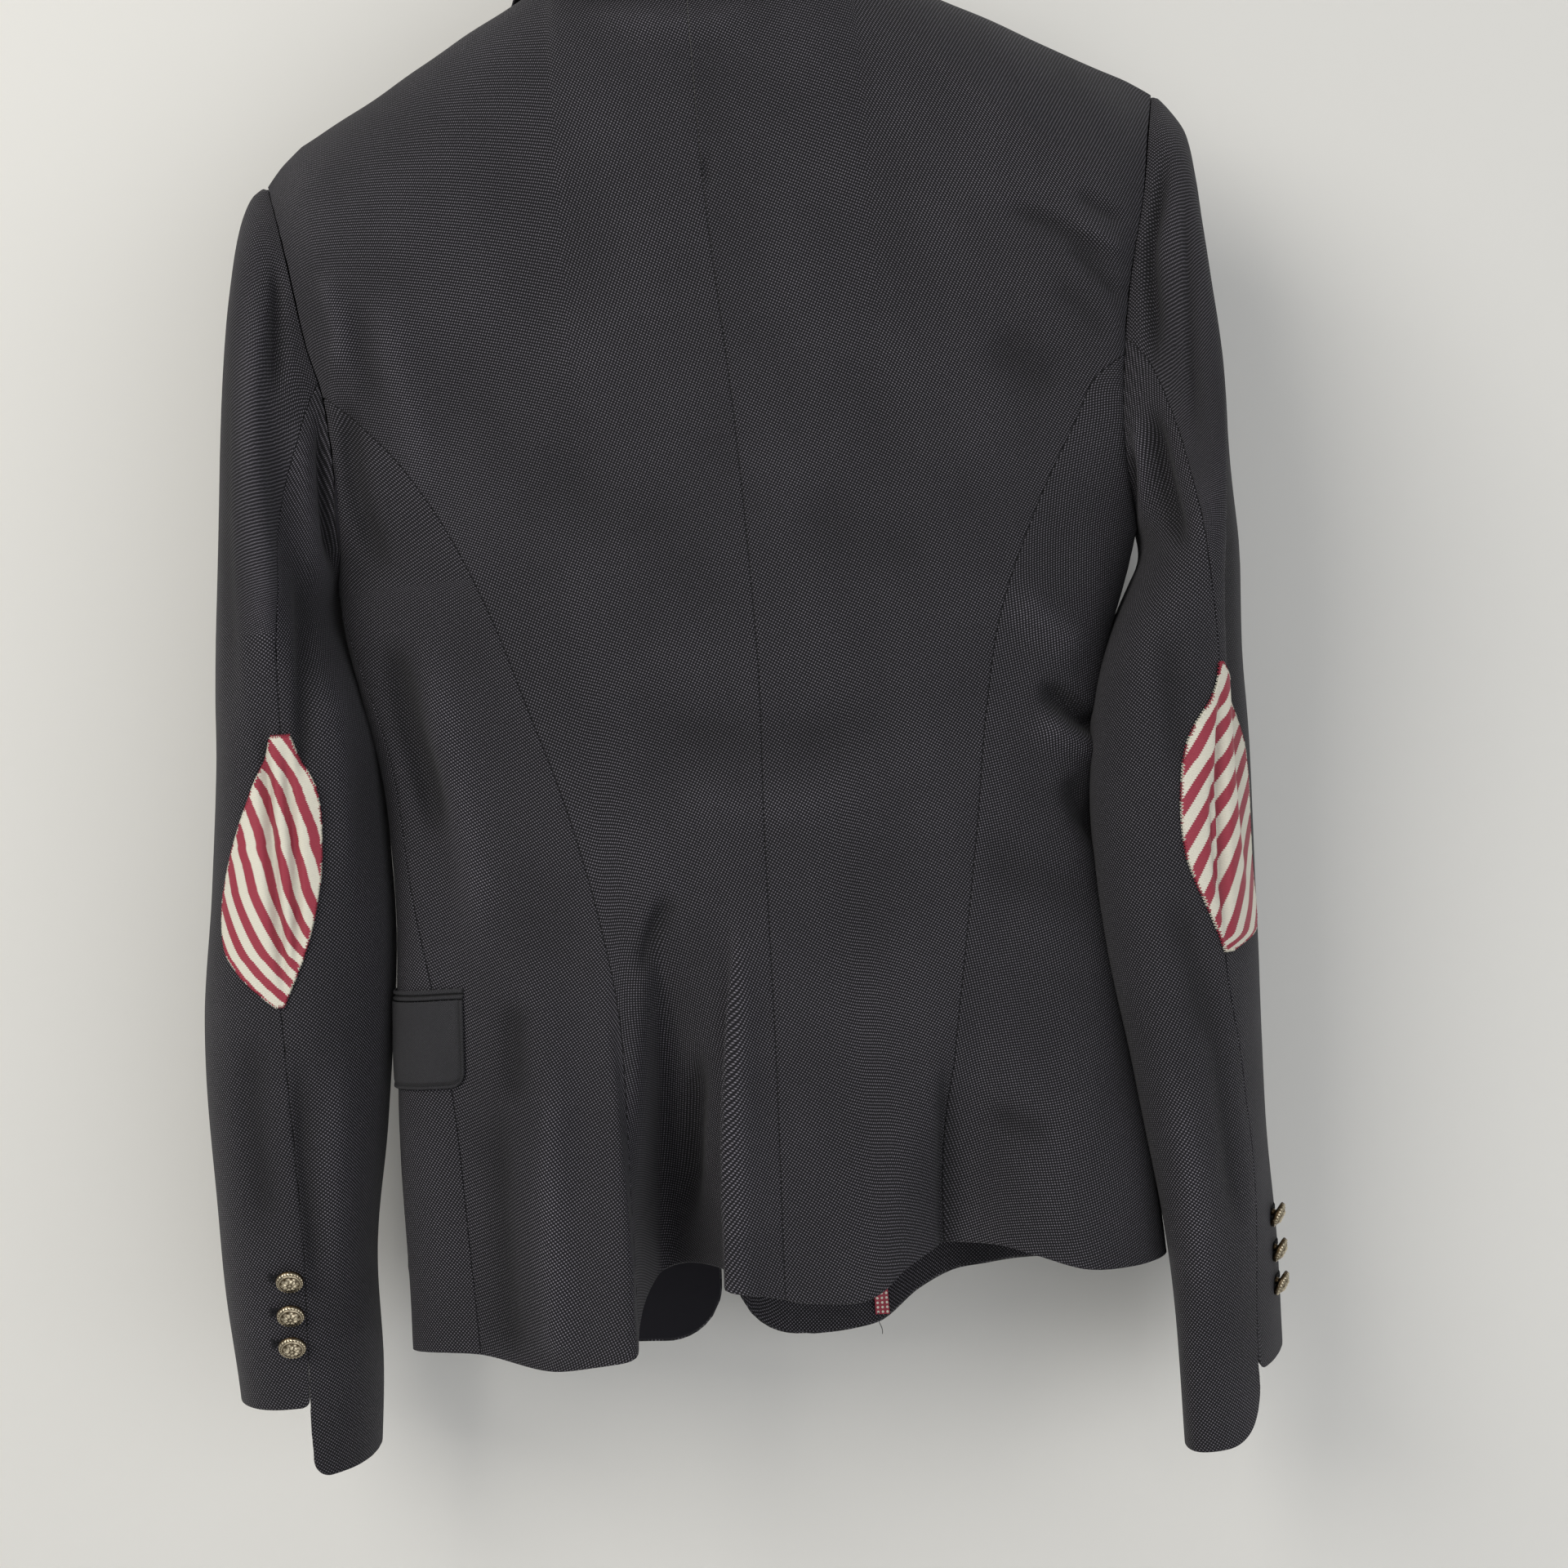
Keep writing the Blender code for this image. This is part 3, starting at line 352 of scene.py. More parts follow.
# %% Seam places
def place_of(side, line, row, low, high):
    places = np.linspace(low, high, 400)
    back = plain_shell("back", side * np.clip(places, -1, 1), row)
    front = plain_shell("front", side * (2 - np.clip(places, 1, 3)), row)
    points = np.where((places <= 1)[:, None], back, front)
    gap = side * (points[:, 0] - curve_at(line, "z", "x", points[:, 2]))
    crossing = np.nonzero(np.diff(np.sign(gap)))[0]
    if not len(crossing):
        return high
    i = crossing[-1] if low >= 1 else crossing[0]
    share = gap[i] / (gap[i] - gap[i + 1])
    return places[i] + share * (places[i + 1] - places[i])


def centre_place(side, row):
    return place_of(side, CENTRE_BACK, row, -0.2, 0.3)


def princess_place(side, row):
    return place_of(side, PRINCESS[side], row, 0.2, 1.0)


def side_place(side, row):
    if row < 1 or side == RIGHT:
        return 1.0
    return place_of(side, SIDE_SEAM_LEFT, row, 0.5, 1.0)


def front_place(side, row):
    return place_of(side, FRONT_EDGE[side], row, 1.0, 2.4)


def first_side_row(side):
    """The row where the princess seam leaves the armhole."""
    top, bottom = SHOULDER[side]["z"][-1], PRINCESS[side]["z"][0]
    return (top - bottom) / (top - ARMPIT) + 0.008


print("princess seams start at rows", [round(float(first_side_row(s)), 3) for s in (LEFT, RIGHT)])

# %% [markdown]
# ## The sleeves as surfaces
# Each sleeve is a bent tube that starts at the armhole, rolls over the sleeve head and hangs
# down. Angle 0 is the outside, a quarter turn is behind, a half turn is against the body.

# %% Points on the sleeves
def sleeve_ring(side, angles, z):
    table = SLEEVE[side]
    inner, outer = curve_at(table, "z", "inner", z), curve_at(table, "z", "outer", z)
    power = 2 / SLEEVE_ROUND
    across = np.sign(np.cos(angles)) * np.abs(np.cos(angles)) ** power
    along = np.sign(np.sin(angles)) * np.abs(np.sin(angles)) ** power
    x = (inner + outer) / 2 + across * (outer - inner) / 2 + curve_at(table, "z", "lean", z) * along
    y = curve_at(table, "z", "middle", z) - curve_at(table, "z", "half", z) * along
    return np.stack([side * x, y, np.broadcast_to(z, x.shape)], -1)


def sleeve_points(side, angles, row):
    """Row 0 is the armhole, 1 the level under it, and lower rows are levels in mm."""
    angles = np.asarray(angles, float)
    if row < 0:
        return sleeve_ring(side, angles, row)
    turn = np.mod(angles, 2 * math.pi)
    behind = turn <= math.pi
    share = (1 - np.cos(turn)) / 2
    start = np.where(
        behind[:, None], armhole_at("back", side, share), armhole_at("front", side, share)
    )
    end = sleeve_ring(side, angles, SLEEVE_TOP)
    control = end.copy()
    control[:, 2] = start[:, 2] - 1.5
    control[:, 0] += side * CAP_FULLNESS[side] * np.clip(np.cos(angles), 0, 1)
    slope = (end - sleeve_ring(side, angles, SLEEVE_TOP - 10)) / 10
    first = start + (control - start) * 2 / 3
    second = end + (control - end) * 2 / 3
    second[:, :2] += slope[:, :2] * (second - end)[:, 2:]
    t = row
    points = start * (1 - t) ** 3 + first * 3 * t * (1 - t) ** 2 + second * 3 * t**2 * (1 - t) + end * t**3
    if side == RIGHT:
        free = np.clip(np.cos(angles) + 0.3, 0, 1) * smooth_step(t / 0.3)
        points[:, 0] += curve_at(CAP_LINE, "z", "x", points[:, 2]) * free
    return points


def elbow_angle(side, row):
    """Where the elbow seam crosses a row of the sleeve."""
    angles = np.radians(np.linspace(25, 150, 300))
    points = sleeve_points(side, angles, row)
    wanted = curve_at(ELBOW_SEAM[side], "z", "x", points[:, 2])
    gap = side * points[:, 0] - wanted
    return float(angles[np.nonzero(np.diff(np.sign(gap)))[0][-1]])


def sleeve_normals(side, angles, row):
    step = 0.02
    around = sleeve_points(side, angles + step, row) - sleeve_points(side, angles - step, row)
    up, low = (min(row + 2, SLEEVE_TOP), row - 2) if row < 0 else (max(row - 0.03, 0), min(row + 0.03, 1))
    down = sleeve_points(side, angles, low) - sleeve_points(side, angles, up)
    normal = side * np.cross(around, down)
    return normal / np.linalg.norm(normal, axis=1)[:, None]


print("left sleeve, outermost at the elbow:", sleeve_points(LEFT, [0.0], -500.0)[0].round(1))

# %% [markdown]
# ## The main creases
# Hanging cloth is never even. Each row below is one crease as it lies on the jacket: the line
# that it follows, how wide it is on each side of that line, and how deep, where a minus sign
# makes a trough. They differ in length, depth and spacing, as real ones do, and the sides
# that the photo hides have similar ones. All are drawn DEEPER and NARROWER than their rows
# say, by those factors.

# %% Creases
def crease(wide, deep, *path, ends=(1, 1)):
    """Its width on each side, its depth, the points it runs through, and which ends fade."""
    return dict(wide=wide, deep=deep, path=path, ends=ends)


CREASES = dict(
    back=(
        crease((5, 4), -1.6, (164, -197), (177, -206), (190, -214)),
        crease((6, 4.5), -1.9, (128, -203), (148, -210), (165, -220), (187, -238)),
        crease((4, 5), -1.7, (158, -222), (173, -236), (186, -252)),
        crease((3.5, 4), 0.9, (160, -212), (175, -220), (190, -229)),
        crease((5, 6), -1.0, (150, -238), (164, -252), (178, -270)),
        crease((14, 12), -1.4, (118, -262), (136, -275), (152, -292)),
        crease((8, 5), -4.7, (131, -421), (145, -431), (158, -441), (175, -447)),
        crease((9, 9), 2.6, (128, -437), (146, -449), (172, -460)),
        crease((12, 10), 2.0, (120, -378), (140, -396), (160, -412)),
        crease((10, 8), -3.2, (145, -463), (154, -486), (168, -500)),
        crease((16, 12), -1.2, (96, -490), (122, -512), (160, -530)),
        crease((8, 11), -4.0, (-171, -372), (-165, -416), (-157, -454), (-155, -480)),
        crease((12, 12), 2.4, (-150, -372), (-144, -440), (-138, -500), (-140, -545)),
        crease((7, 9), -2.6, (-176, -262), (-178, -300), (-172, -335), (-165, -352)),
        crease((6, 8), 2.0, (-184, -205), (-177, -240), (-180, -262)),
        crease((11, 12), 1.8, (-158, -210), (-152, -250), (-146, -296), (-142, -330)),
        crease((6, 7), -1.2, (-168, -220), (-166, -250), (-163, -278)),
        crease((9, 9), -2.4, (-123, -545), (-126, -578), (-128, -600)),
        crease((10, 10), 2.2, (-104, -575), (-109, -640), (-110, -700), ends=(1, 0)),
        crease((10, 10), -1.8, (-134, -590), (-136, -650), (-136, -700), ends=(1, 0)),
        crease((5, 7), -2.4, (-44, -504), (-55, -523), (-63, -545)),
        crease((6, 6), -3.4, (-38, -575), (-46, -621), (-52, -668)),
        crease((3.2, 11), 2.6, (-18, -510), (-20, -559), (-26, -610), (-31, -690), ends=(1, 0)),
        crease((5, 7), -2.4, (75, -585), (72, -640), (69, -690), ends=(1, 0)),
        crease((7, 8), -1.6, (92, -615), (104, -625), (124, -630)),
        crease((2.0, 2.5), -1.1, (-2, -166), (-3, -176), (-2, -186)),
        crease((9, 9), 1.2, (-60, -92), (-30, -104), (0, -108), (34, -102)),
        crease((22, 18), -0.9, (20, -330), (60, -352), (96, -360)),
        crease((20, 18), -0.8, (-96, -300), (-60, -330), (-20, -338)),
        crease((16, 14), -1.0, (-60, -420), (-20, -436), (30, -440), (70, -430)),
        crease((14, 12), 0.9, (-50, -455), (-10, -470), (50, -468)),
    ),
    sleeve_right=(
        crease((3.6, 4.6), -3.6, (212, -176), (204, -203), (197, -230), (196, -261), (193, -290)),
        crease((2.2, 5), -1.6, (218, -190), (214, -230), (209, -292), (208, -330)),
        crease((3.4, 4.4), -4.1, (191, -296), (194, -318), (197, -345), (199, -372)),
        crease((3.2, 3.8), -3.5, (182, -312), (184, -335), (187, -362)),
        crease((3, 3), 2.2, (186, -300), (189, -330), (192, -365)),
        crease((2.4, 9), -2.6, (228, -275), (225, -330), (222, -400), (222, -470), (225, -545)),
        crease((2.4, 3.2), -2.9, (214, -425), (211, -465), (210, -505), (208, -556)),
        crease((2.4, 1.8), -1.4, (208, -462), (206, -498), (206, -536)),
        crease((8, 10), -1.8, (186, -395), (190, -440), (192, -480)),
        crease((10, 9), -1.8, (182, -520), (192, -556), (198, -600)),
        crease((8, 10), 1.8, (178, -600), (184, -660), (186, -730)),
        crease((7, 7), -1.6, (200, -560), (204, -640), (206, -700)),
    ),
    sleeve_left=(
        crease((7, 6), 3.0, (-212, -200), (-216, -249), (-218, -300), (-217, -345), (-219, -404)),
        crease((3.4, 4.0), -4.0, (-188, -266), (-190, -290), (-192, -330), (-193, -356)),
        crease((6, 6), 1.8, (-198, -270), (-200, -320), (-199, -365)),
        crease((4, 4), -2.2, (-204, -190), (-206, -230), (-208, -270)),
        crease((8, 9), -1.8, (-228, -215), (-232, -290), (-236, -360), (-240, -430)),
        crease((4, 5), -2.6, (-206, -330), (-204, -370), (-206, -420), (-210, -450)),
        crease((7, 6), 1.8, (-196, -380), (-194, -430), (-196, -500)),
        crease((3.2, 3.6), -2.9, (-224, -405), (-225, -448), (-226, -500), (-225, -550)),
        crease((2.6, 3), -2.1, (-215, -418), (-215, -462), (-217, -506), (-221, -538)),
        crease((10, 12), -2.0, (-242, -545), (-246, -600), (-246, -660)),
        crease((8, 8), 1.6, (-202, -560), (-212, -620), (-216, -700)),
        crease((5, 6), -2.0, (-222, -560), (-224, -620), (-224, -690)),
    ),
    front=(
        crease((12, 14), -1.8, (-120, -200), (-130, -260), (-150, -320)),
        crease((13, 11), -1.6, (126, -210), (138, -262), (150, -330)),
        crease((10, 12), -2.2, (-60, -455), (-100, -470), (-150, -462)),
        crease((11, 9), -2.0, (40, -462), (80, -480), (140, -470)),
        crease((14, 18), -2.4, (-88, -610), (-96, -660), (-100, -730), ends=(1, 0)),
        crease((16, 14), -2.4, (76, -600), (90, -660), (92, -720), ends=(1, 0)),
        crease((12, 15), 2.0, (-36, -560), (-46, -620), (-52, -700)),
    ),
    front_sleeve=(
        crease((7, 9), -2.8, (214, -230), (216, -300), (213, -360)),
        crease((6, 8), -3.0, (192, -350), (198, -420), (196, -480)),
        crease((9, 8), -2.6, (204, -470), (214, -500), (226, -512)),
        crease((9, 9), 2.2, (190, -540), (202, -600), (204, -680)),
        crease((8, 7), -2.8, (-222, -220), (-228, -290), (-224, -370)),
        crease((7, 9), -3.0, (-206, -390), (-214, -460), (-216, -510)),
        crease((8, 9), -2.4, (-222, -480), (-240, -512), (-256, -520)),
        crease((9, 10), 2.0, (-216, -560), (-226, -640), (-234, -710)),
    ),
)
# The third value is the crease height in mm at which the painted shade in the troughs and the painted
# highlight on the ridges are at full strength.
DEEPER, NARROWER, PAINTED_SHADE_DEPTH = 1.7, 0.78, 3.2


def crease_height(on, x, z):
    """How far the creases named on move the cloth out, at each point of its front view."""
    height = np.zeros_like(x)
    for row in CREASES[on]:
        knots = np.array(row["path"], float)
        way = lengths(knots)
        table = dict(way=way, x=knots[:, 0], z=knots[:, 1])
        steps = np.linspace(0, way[-1], 22)
        line = np.stack([curve_at(table, "way", c, steps) for c in "xz"], -1)
        reach = 3 * max(row["wide"])
        near = np.nonzero(
            (x > line[:, 0].min() - reach) & (x < line[:, 0].max() + reach)
            & (z > line[:, 1].min() - reach) & (z < line[:, 1].max() + reach)
        )
        if not len(near[0]):
            continue
        spots = np.stack([x[near], z[near]], -1)
        best = np.full(len(spots), 1e9)
        across = np.zeros(len(spots))
        along = np.zeros(len(spots))
        for i, (a, b) in enumerate(zip(line, line[1:])):
            run = b - a
            t = np.clip((spots - a) @ run / (run @ run), 0, 1)
            off = spots - a - t[:, None] * run
            gap = np.hypot(off[:, 0], off[:, 1])
            closer = gap < best
            best = np.where(closer, gap, best)
            side = np.sign(run[0] * off[:, 1] - run[1] * off[:, 0])
            across = np.where(closer, side, across)
            along = np.where(closer, (i + t) / (len(line) - 1), along)
        wide = NARROWER * np.where(across > 0, row["wide"][1], row["wide"][0])
        begin, end = row["ends"]
        fade = smooth_step(along / 0.3) if begin else 1.0
        fade = fade * (smooth_step((1 - along) / 0.3) if end else 1.0)
        height[near] += DEEPER * row["deep"] * fade * np.exp(-((best / wide) ** 2))
    return height


def drape(points, normals, back_creases, front_creases):
    """The listed creases on the side that faces them, and a slow unevenness everywhere."""
    x, y, z = points[..., 0], points[..., 1], points[..., 2]
    behind = smooth_step(-normals[..., 1] * 2 + 0.2)
    before = smooth_step(normals[..., 1] * 2 + 0.2)
    slow = 0.55 * np.sin(x / 17 + z / 43 + 1.3) * np.sin(z / 31 - x / 53)
    slow += 0.3 * np.sin(x / 7.3 - z / 61 + y / 15) * np.sin(z / 19 + x / 23 + 2.1)
    return behind * crease_height(back_creases, x, z) + before * crease_height(front_creases, x, z) + slow


def hollow(height):
    """Painted shade of the creases: -1 in the deepest troughs, painted darkest, to 1 on the ridges, painted
    lightest.
    """
    return np.clip(height / PAINTED_SHADE_DEPTH, -1, 1)


print("creases placed by hand:", sum(len(rows) for rows in CREASES.values()))

# %% [markdown]
# ## Seams and edges in the cloth
# Where two panels are sewn, the cloth rolls into the seam and the stitches draw it into small
# uneven puckers. At a hem or a free edge it rolls over its own fold in the same way.

# %% Seam roll and puckers
ROLL = 0.6


def stations(length, count):
    """Distances across a panel, closer together at both edges."""
    edge = np.minimum(np.array([0, 0.35, 0.9, 1.8]), length * np.array([0, 0.04, 0.09, 0.15]))
    inner = np.linspace(edge[-1], length - edge[-1], count - 6)
    return np.r_[edge[:-1], inner, length - edge[-2::-1]]


def edge_roll(distance):
    inside = np.clip(1 - distance / ROLL, 0, 1)
    return -ROLL * (1 - np.sqrt(1 - inside**2))


def puckers(distance, along, size):
    wave = np.sin(along / 2.3 + 1.7 * np.sin(along / 11)) * (0.6 + 0.4 * np.sin(along / 29 + 2))
    return size * wave * np.exp(-distance / 4.5)


print("edge of a seam lies", ROLL, "mm lower than the cloth beside it")

# %% [markdown]
# ## The knit and the other finishes
# The jacket is a fine textured knit: tiny raised knots, staggered like bricks, about two to
# every three millimetres. The knots are far too many to model, so they are a bump that follows
# each panel's own UV map, which is laid out in metres. One node group makes the knit for every
# panel, with its own pitch, depth and colours.

# %% Helpers for shader nodes
def plug(tree, socket, value):
    """Links a socket to another one, or writes a value into it."""
    if isinstance(value, bpy.types.NodeSocket):
        tree.links.new(value, socket)
    else:
        socket.default_value = value


def node(tree, kind, values=(), **settings):
    made = tree.nodes.new(kind)
    for name, value in settings.items():
        setattr(made, name, value)
    for key, value in dict(values).items():
        plug(tree, made.inputs[key], value)
    return made


def maths(tree, operation, *values):
    made = tree.nodes.new("ShaderNodeMath")
    made.operation = operation
    for place, value in enumerate(values):
        plug(tree, made.inputs[place], value)
    return made.outputs[0]


def mixed(tree, share, first, second, blend="MIX"):
    made = tree.nodes.new("ShaderNodeMix")
    made.data_type = "RGBA"
    made.blend_type = blend
    for place, value in ((0, share), (6, first), (7, second)):
        plug(tree, made.inputs[place], value)
    return made.outputs[2]


def group(name, inputs, outputs):
    """A node group with named sockets: (name, kind, value) in, (name, kind) out."""
    tree = bpy.data.node_groups.new(name, "ShaderNodeTree")
    kinds = dict(number="NodeSocketFloat", colour="NodeSocketColor", vector="NodeSocketVector")
    for title, kind, value in inputs:
        socket = tree.interface.new_socket(name=title, in_out="INPUT", socket_type=kinds[kind])
        if value is not None:
            socket.default_value = value
    for title, kind in outputs:
        tree.interface.new_socket(name=title, in_out="OUTPUT", socket_type=kinds[kind])
    start = tree.nodes.new("NodeGroupInput")
    end = tree.nodes.new("NodeGroupOutput")
    return tree, start.outputs, end.inputs


def use_group(tree, shared, **values):
    made = tree.nodes.new("ShaderNodeGroup")
    made.node_tree = shared
    for key, value in values.items():
        plug(tree, made.inputs[key.replace("_", " ")], value)
    return made.outputs


def plain_material(name, roughness, metallic=0.0, sheen=0.0):
    made = bpy.data.materials.new(name)
    made.use_nodes = True
    shader = made.node_tree.nodes["Principled BSDF"]
    shader.inputs["Roughness"].default_value = roughness
    shader.inputs["Metallic"].default_value = metallic
    shader.inputs["Sheen Weight"].default_value = sheen
    return made, made.node_tree, shader.inputs


def bumped(tree, sockets, height, strength, distance):
    values = {"Height": height, "Strength": strength, "Distance": distance}
    tree.links.new(node(tree, "ShaderNodeBump", values).outputs[0], sockets["Normal"])


print("helpers ready")

# %% [markdown]
# The knit group takes a surface position in metres. It wobbles it a little, because yarn is
# never straight, lays staggered knots on it, and gives out their colour and height.

# %% Node group: staggered knit
KNIT, k_in, k_out = group(
    "staggered knit",
    [("Place", "vector", None), ("Pitch", "number", 0.0018), ("Dark", "colour", (0.008, 0.008, 0.011, 1)),
     ("Light", "colour", (0.03, 0.03, 0.035, 1)), ("Wobble", "number", 0.16)],
    [("Colour", "colour"), ("Height", "number")],
)
scaled = node(KNIT, "ShaderNodeVectorMath", operation="DIVIDE")
pitch = node(KNIT, "ShaderNodeCombineXYZ", {0: k_in["Pitch"], 1: k_in["Pitch"], 2: k_in["Pitch"]})
KNIT.links.new(k_in["Place"], scaled.inputs[0])
KNIT.links.new(pitch.outputs[0], scaled.inputs[1])
drift = node(KNIT, "ShaderNodeTexNoise", {"Vector": scaled.outputs[0], "Scale": 0.35, "Detail": 2.0})
pushed = node(KNIT, "ShaderNodeVectorMath", {0: drift.outputs["Color"], 1: (0.5, 0.5, 0.5)},
              operation="SUBTRACT")
reach = node(KNIT, "ShaderNodeVectorMath", {0: pushed.outputs[0], "Scale": k_in["Wobble"]},
             operation="SCALE")
moved = node(KNIT, "ShaderNodeVectorMath", {0: scaled.outputs[0], 1: reach.outputs[0]}, operation="ADD")
apart = node(KNIT, "ShaderNodeSeparateXYZ", {0: moved.outputs[0]})
across = maths(KNIT, "COSINE", maths(KNIT, "MULTIPLY", apart.outputs[0], 2 * math.pi))
down = maths(KNIT, "COSINE", maths(KNIT, "MULTIPLY", apart.outputs[1], 2 * math.pi))
knots = maths(KNIT, "MULTIPLY_ADD", maths(KNIT, "MULTIPLY", across, down), 0.5, 0.5)
fibre = node(KNIT, "ShaderNodeTexNoise", {"Vector": scaled.outputs[0], "Scale": 2.4, "Detail": 3.0})
rough = maths(KNIT, "MULTIPLY_ADD", fibre.outputs["Fac"], 0.7, maths(KNIT, "MULTIPLY", knots, 0.65))
bright = maths(KNIT, "POWER", maths(KNIT, "MULTIPLY", rough, knots), 3.1)
cloudy = node(KNIT, "ShaderNodeTexNoise", {"Vector": scaled.outputs[0], "Scale": 0.03, "Detail": 3.0})
worn = maths(KNIT, "MULTIPLY", bright, maths(KNIT, "MULTIPLY_ADD", cloudy.outputs["Fac"], 0.7, 0.65))
KNIT.links.new(mixed(KNIT, worn, k_in["Dark"], k_in["Light"]), k_out["Colour"])
KNIT.links.new(rough, k_out["Height"])
print("knit group has", len(KNIT.nodes), "nodes")

# %% Node group: fine twill
TWILL, t_in, t_out = group(
    "fine twill",
    [("Place", "vector", None), ("Pitch", "number", 0.0008), ("Colour", "colour", (0.5, 0.5, 0.5, 1))],
    [("Colour", "colour"), ("Height", "number")],
)
ribs = node(TWILL, "ShaderNodeSeparateXYZ", {0: t_in["Place"]})
slant = maths(TWILL, "DIVIDE", maths(TWILL, "ADD", ribs.outputs[0], ribs.outputs[1]), t_in["Pitch"])
wave = maths(TWILL, "SINE", maths(TWILL, "MULTIPLY", slant, 2 * math.pi))
rib = maths(TWILL, "MULTIPLY_ADD", wave, 0.5, 0.5)
flecks = node(TWILL, "ShaderNodeTexNoise", {"Vector": t_in["Place"], "Scale": 1700.0, "Detail": 2.0})
grainy = maths(TWILL, "MULTIPLY_ADD", flecks.outputs["Fac"], 0.6, maths(TWILL, "MULTIPLY", rib, 0.5))
dull = node(TWILL, "ShaderNodeHueSaturation", {"Color": t_in["Colour"], "Value": 0.72})
TWILL.links.new(mixed(TWILL, grainy, dull.outputs[0], t_in["Colour"]), t_out["Colour"])
TWILL.links.new(grainy, t_out["Height"])
print("twill group has", len(TWILL.nodes), "nodes")


# %% Cloth materials
def painted_crease_shade(tree, colour, strength):
    """Painted shade: darkens the colour in the hollows of the creases, and a painted highlight lightens it
    on their ridges.
    """
    relief = node(tree, "ShaderNodeAttribute", attribute_name="hollow").outputs["Fac"]
    value = maths(tree, "MULTIPLY_ADD", relief, strength, 1.0)
    return node(tree, "ShaderNodeHueSaturation", {"Color": colour, "Value": value}).outputs[0]


def knit_material(name, pitch=0.0018, dark=(0.0022, 0.0019, 0.0032, 1), light=(0.198, 0.187, 0.213, 1)):
    made, tree, sockets = plain_material(name, 0.82, sheen=0.05)
    place = node(tree, "ShaderNodeUVMap", uv_map="cloth").outputs[0]
    knit = use_group(tree, KNIT, Place=place, Pitch=pitch, Dark=dark, Light=light)
    # The crease troughs are darkened by painted shade and the ridges lightened by a painted highlight.
    tree.links.new(painted_crease_shade(tree, knit["Colour"], 0.42), sockets["Base Color"])
    bumped(tree, sockets, knit["Height"], 1.0, 0.00028)
    sockets["Sheen Roughness"].default_value = 0.6
    sockets["Specular IOR Level"].default_value = 0.25
    return made


def twill_material(name, colour, pitch=0.0007, sheen=0.1, roughness=0.75):
    made, tree, sockets = plain_material(name, roughness, sheen=sheen)
    place = node(tree, "ShaderNodeUVMap", uv_map="cloth").outputs[0]
    twill = use_group(tree, TWILL, Place=place, Pitch=pitch, Colour=colour)
    tree.links.new(twill["Colour"], sockets["Base Color"])
    bumped(tree, sockets, twill["Height"], 0.5, 0.00015)
    sockets["Specular IOR Level"].default_value = 0.25
    return made


NAVY = knit_material("navy_knit")
LINING = twill_material("dark_inside", (0.008, 0.007, 0.011, 1))
FACING = knit_material("navy_facing", 0.00075, (0.010, 0.010, 0.012, 1), (0.15, 0.146, 0.155, 1))
THREAD = twill_material("navy_thread", (0.010, 0.010, 0.013, 1), pitch=0.0005)
print("cloth materials:", NAVY.name, LINING.name, FACING.name)

# %% [markdown]
# ## From points to cloth
# A panel is a grid that Blender adds, whose vertices are then laid on the panel's own points.
# Its UV map is laid out in metres along and across the panel, so the knit keeps its size. A
# Solidify modifier, applied at once, gives the cloth its thickness.

# %% Making a cloth piece
def nothing_selected():
    if bpy.context.object and bpy.context.object.mode != "OBJECT":
        bpy.ops.object.mode_set(mode="OBJECT")
    bpy.ops.object.select_all(action="DESELECT")


def select_only(piece):
    nothing_selected()
    piece.select_set(True)
    bpy.context.view_layer.objects.active = piece


def apply_modifiers(piece):
    bpy.context.view_layer.objects.active = piece
    for modifier in list(piece.modifiers):
        bpy.ops.object.modifier_apply(modifier=modifier.name)


def lay_grid(name, points, uv, outward, shade=None):
    """A grid with its vertices on the points (mm) and its UV map in metres."""
    rows, columns = points.shape[:2]
    nothing_selected()
    bpy.ops.mesh.primitive_grid_add(x_subdivisions=columns - 1, y_subdivisions=rows - 1, size=1)
    piece = bpy.context.object
    piece.name = piece.data.name = name
    flat = np.empty(len(piece.data.vertices) * 3)
    piece.data.vertices.foreach_get("co", flat)
    flat = flat.reshape(-1, 3).round(5)
    place = np.empty(len(flat), int)
    place[np.lexsort((flat[:, 0], -flat[:, 1]))] = np.arange(len(flat))
    piece.data.vertices.foreach_set("co", (points.reshape(-1, 3)[place] * MM).ravel())
    # Painted crease shade and highlight, one value a point, for the materials to read.
    hollows = piece.data.attributes.new("hollow", "FLOAT", "POINT")
    if shade is not None:
        hollows.data.foreach_set("value", shade.ravel()[place])
    corner = np.empty(len(piece.data.loops), int)
    piece.data.loops.foreach_get("vertex_index", corner)
    layer = piece.data.uv_layers[0]
    layer.name = "cloth"
    layer.uv.foreach_set("vector", (uv.reshape(-1, 2)[place[corner]] * MM).ravel())
    middle, side = rows // 2, columns // 2
    right = points[middle, side + 1] - points[middle, side]
    up = points[middle - 1, side] - points[middle, side]
    if np.dot(np.cross(right, up), outward[middle, side]) < 0:
        bpy.ops.object.mode_set(mode="EDIT")
        bpy.ops.mesh.select_all(action="SELECT")
        bpy.ops.mesh.flip_normals()
        bpy.ops.object.mode_set(mode="OBJECT")
    return piece


def cloth_piece(name, points, uv, outward, replaced, outer=NAVY, inner=None, thick=CLOTH,
                shade=None):
    piece = lay_grid(name, points, uv, outward, shade)
    piece.data.materials.append(outer)
    if inner:
        piece.data.materials.append(inner)
    wall = piece.modifiers.new("wall", "SOLIDIFY")
    wall.thickness = thick * MM
    wall.offset = -1
    wall.use_rim = True
    wall.material_offset = 1 if inner else 0
    apply_modifiers(piece)
    select_only(piece)
    bpy.ops.object.shade_smooth()
    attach(piece, "root")
    if replaced:
        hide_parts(replaced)
    return piece


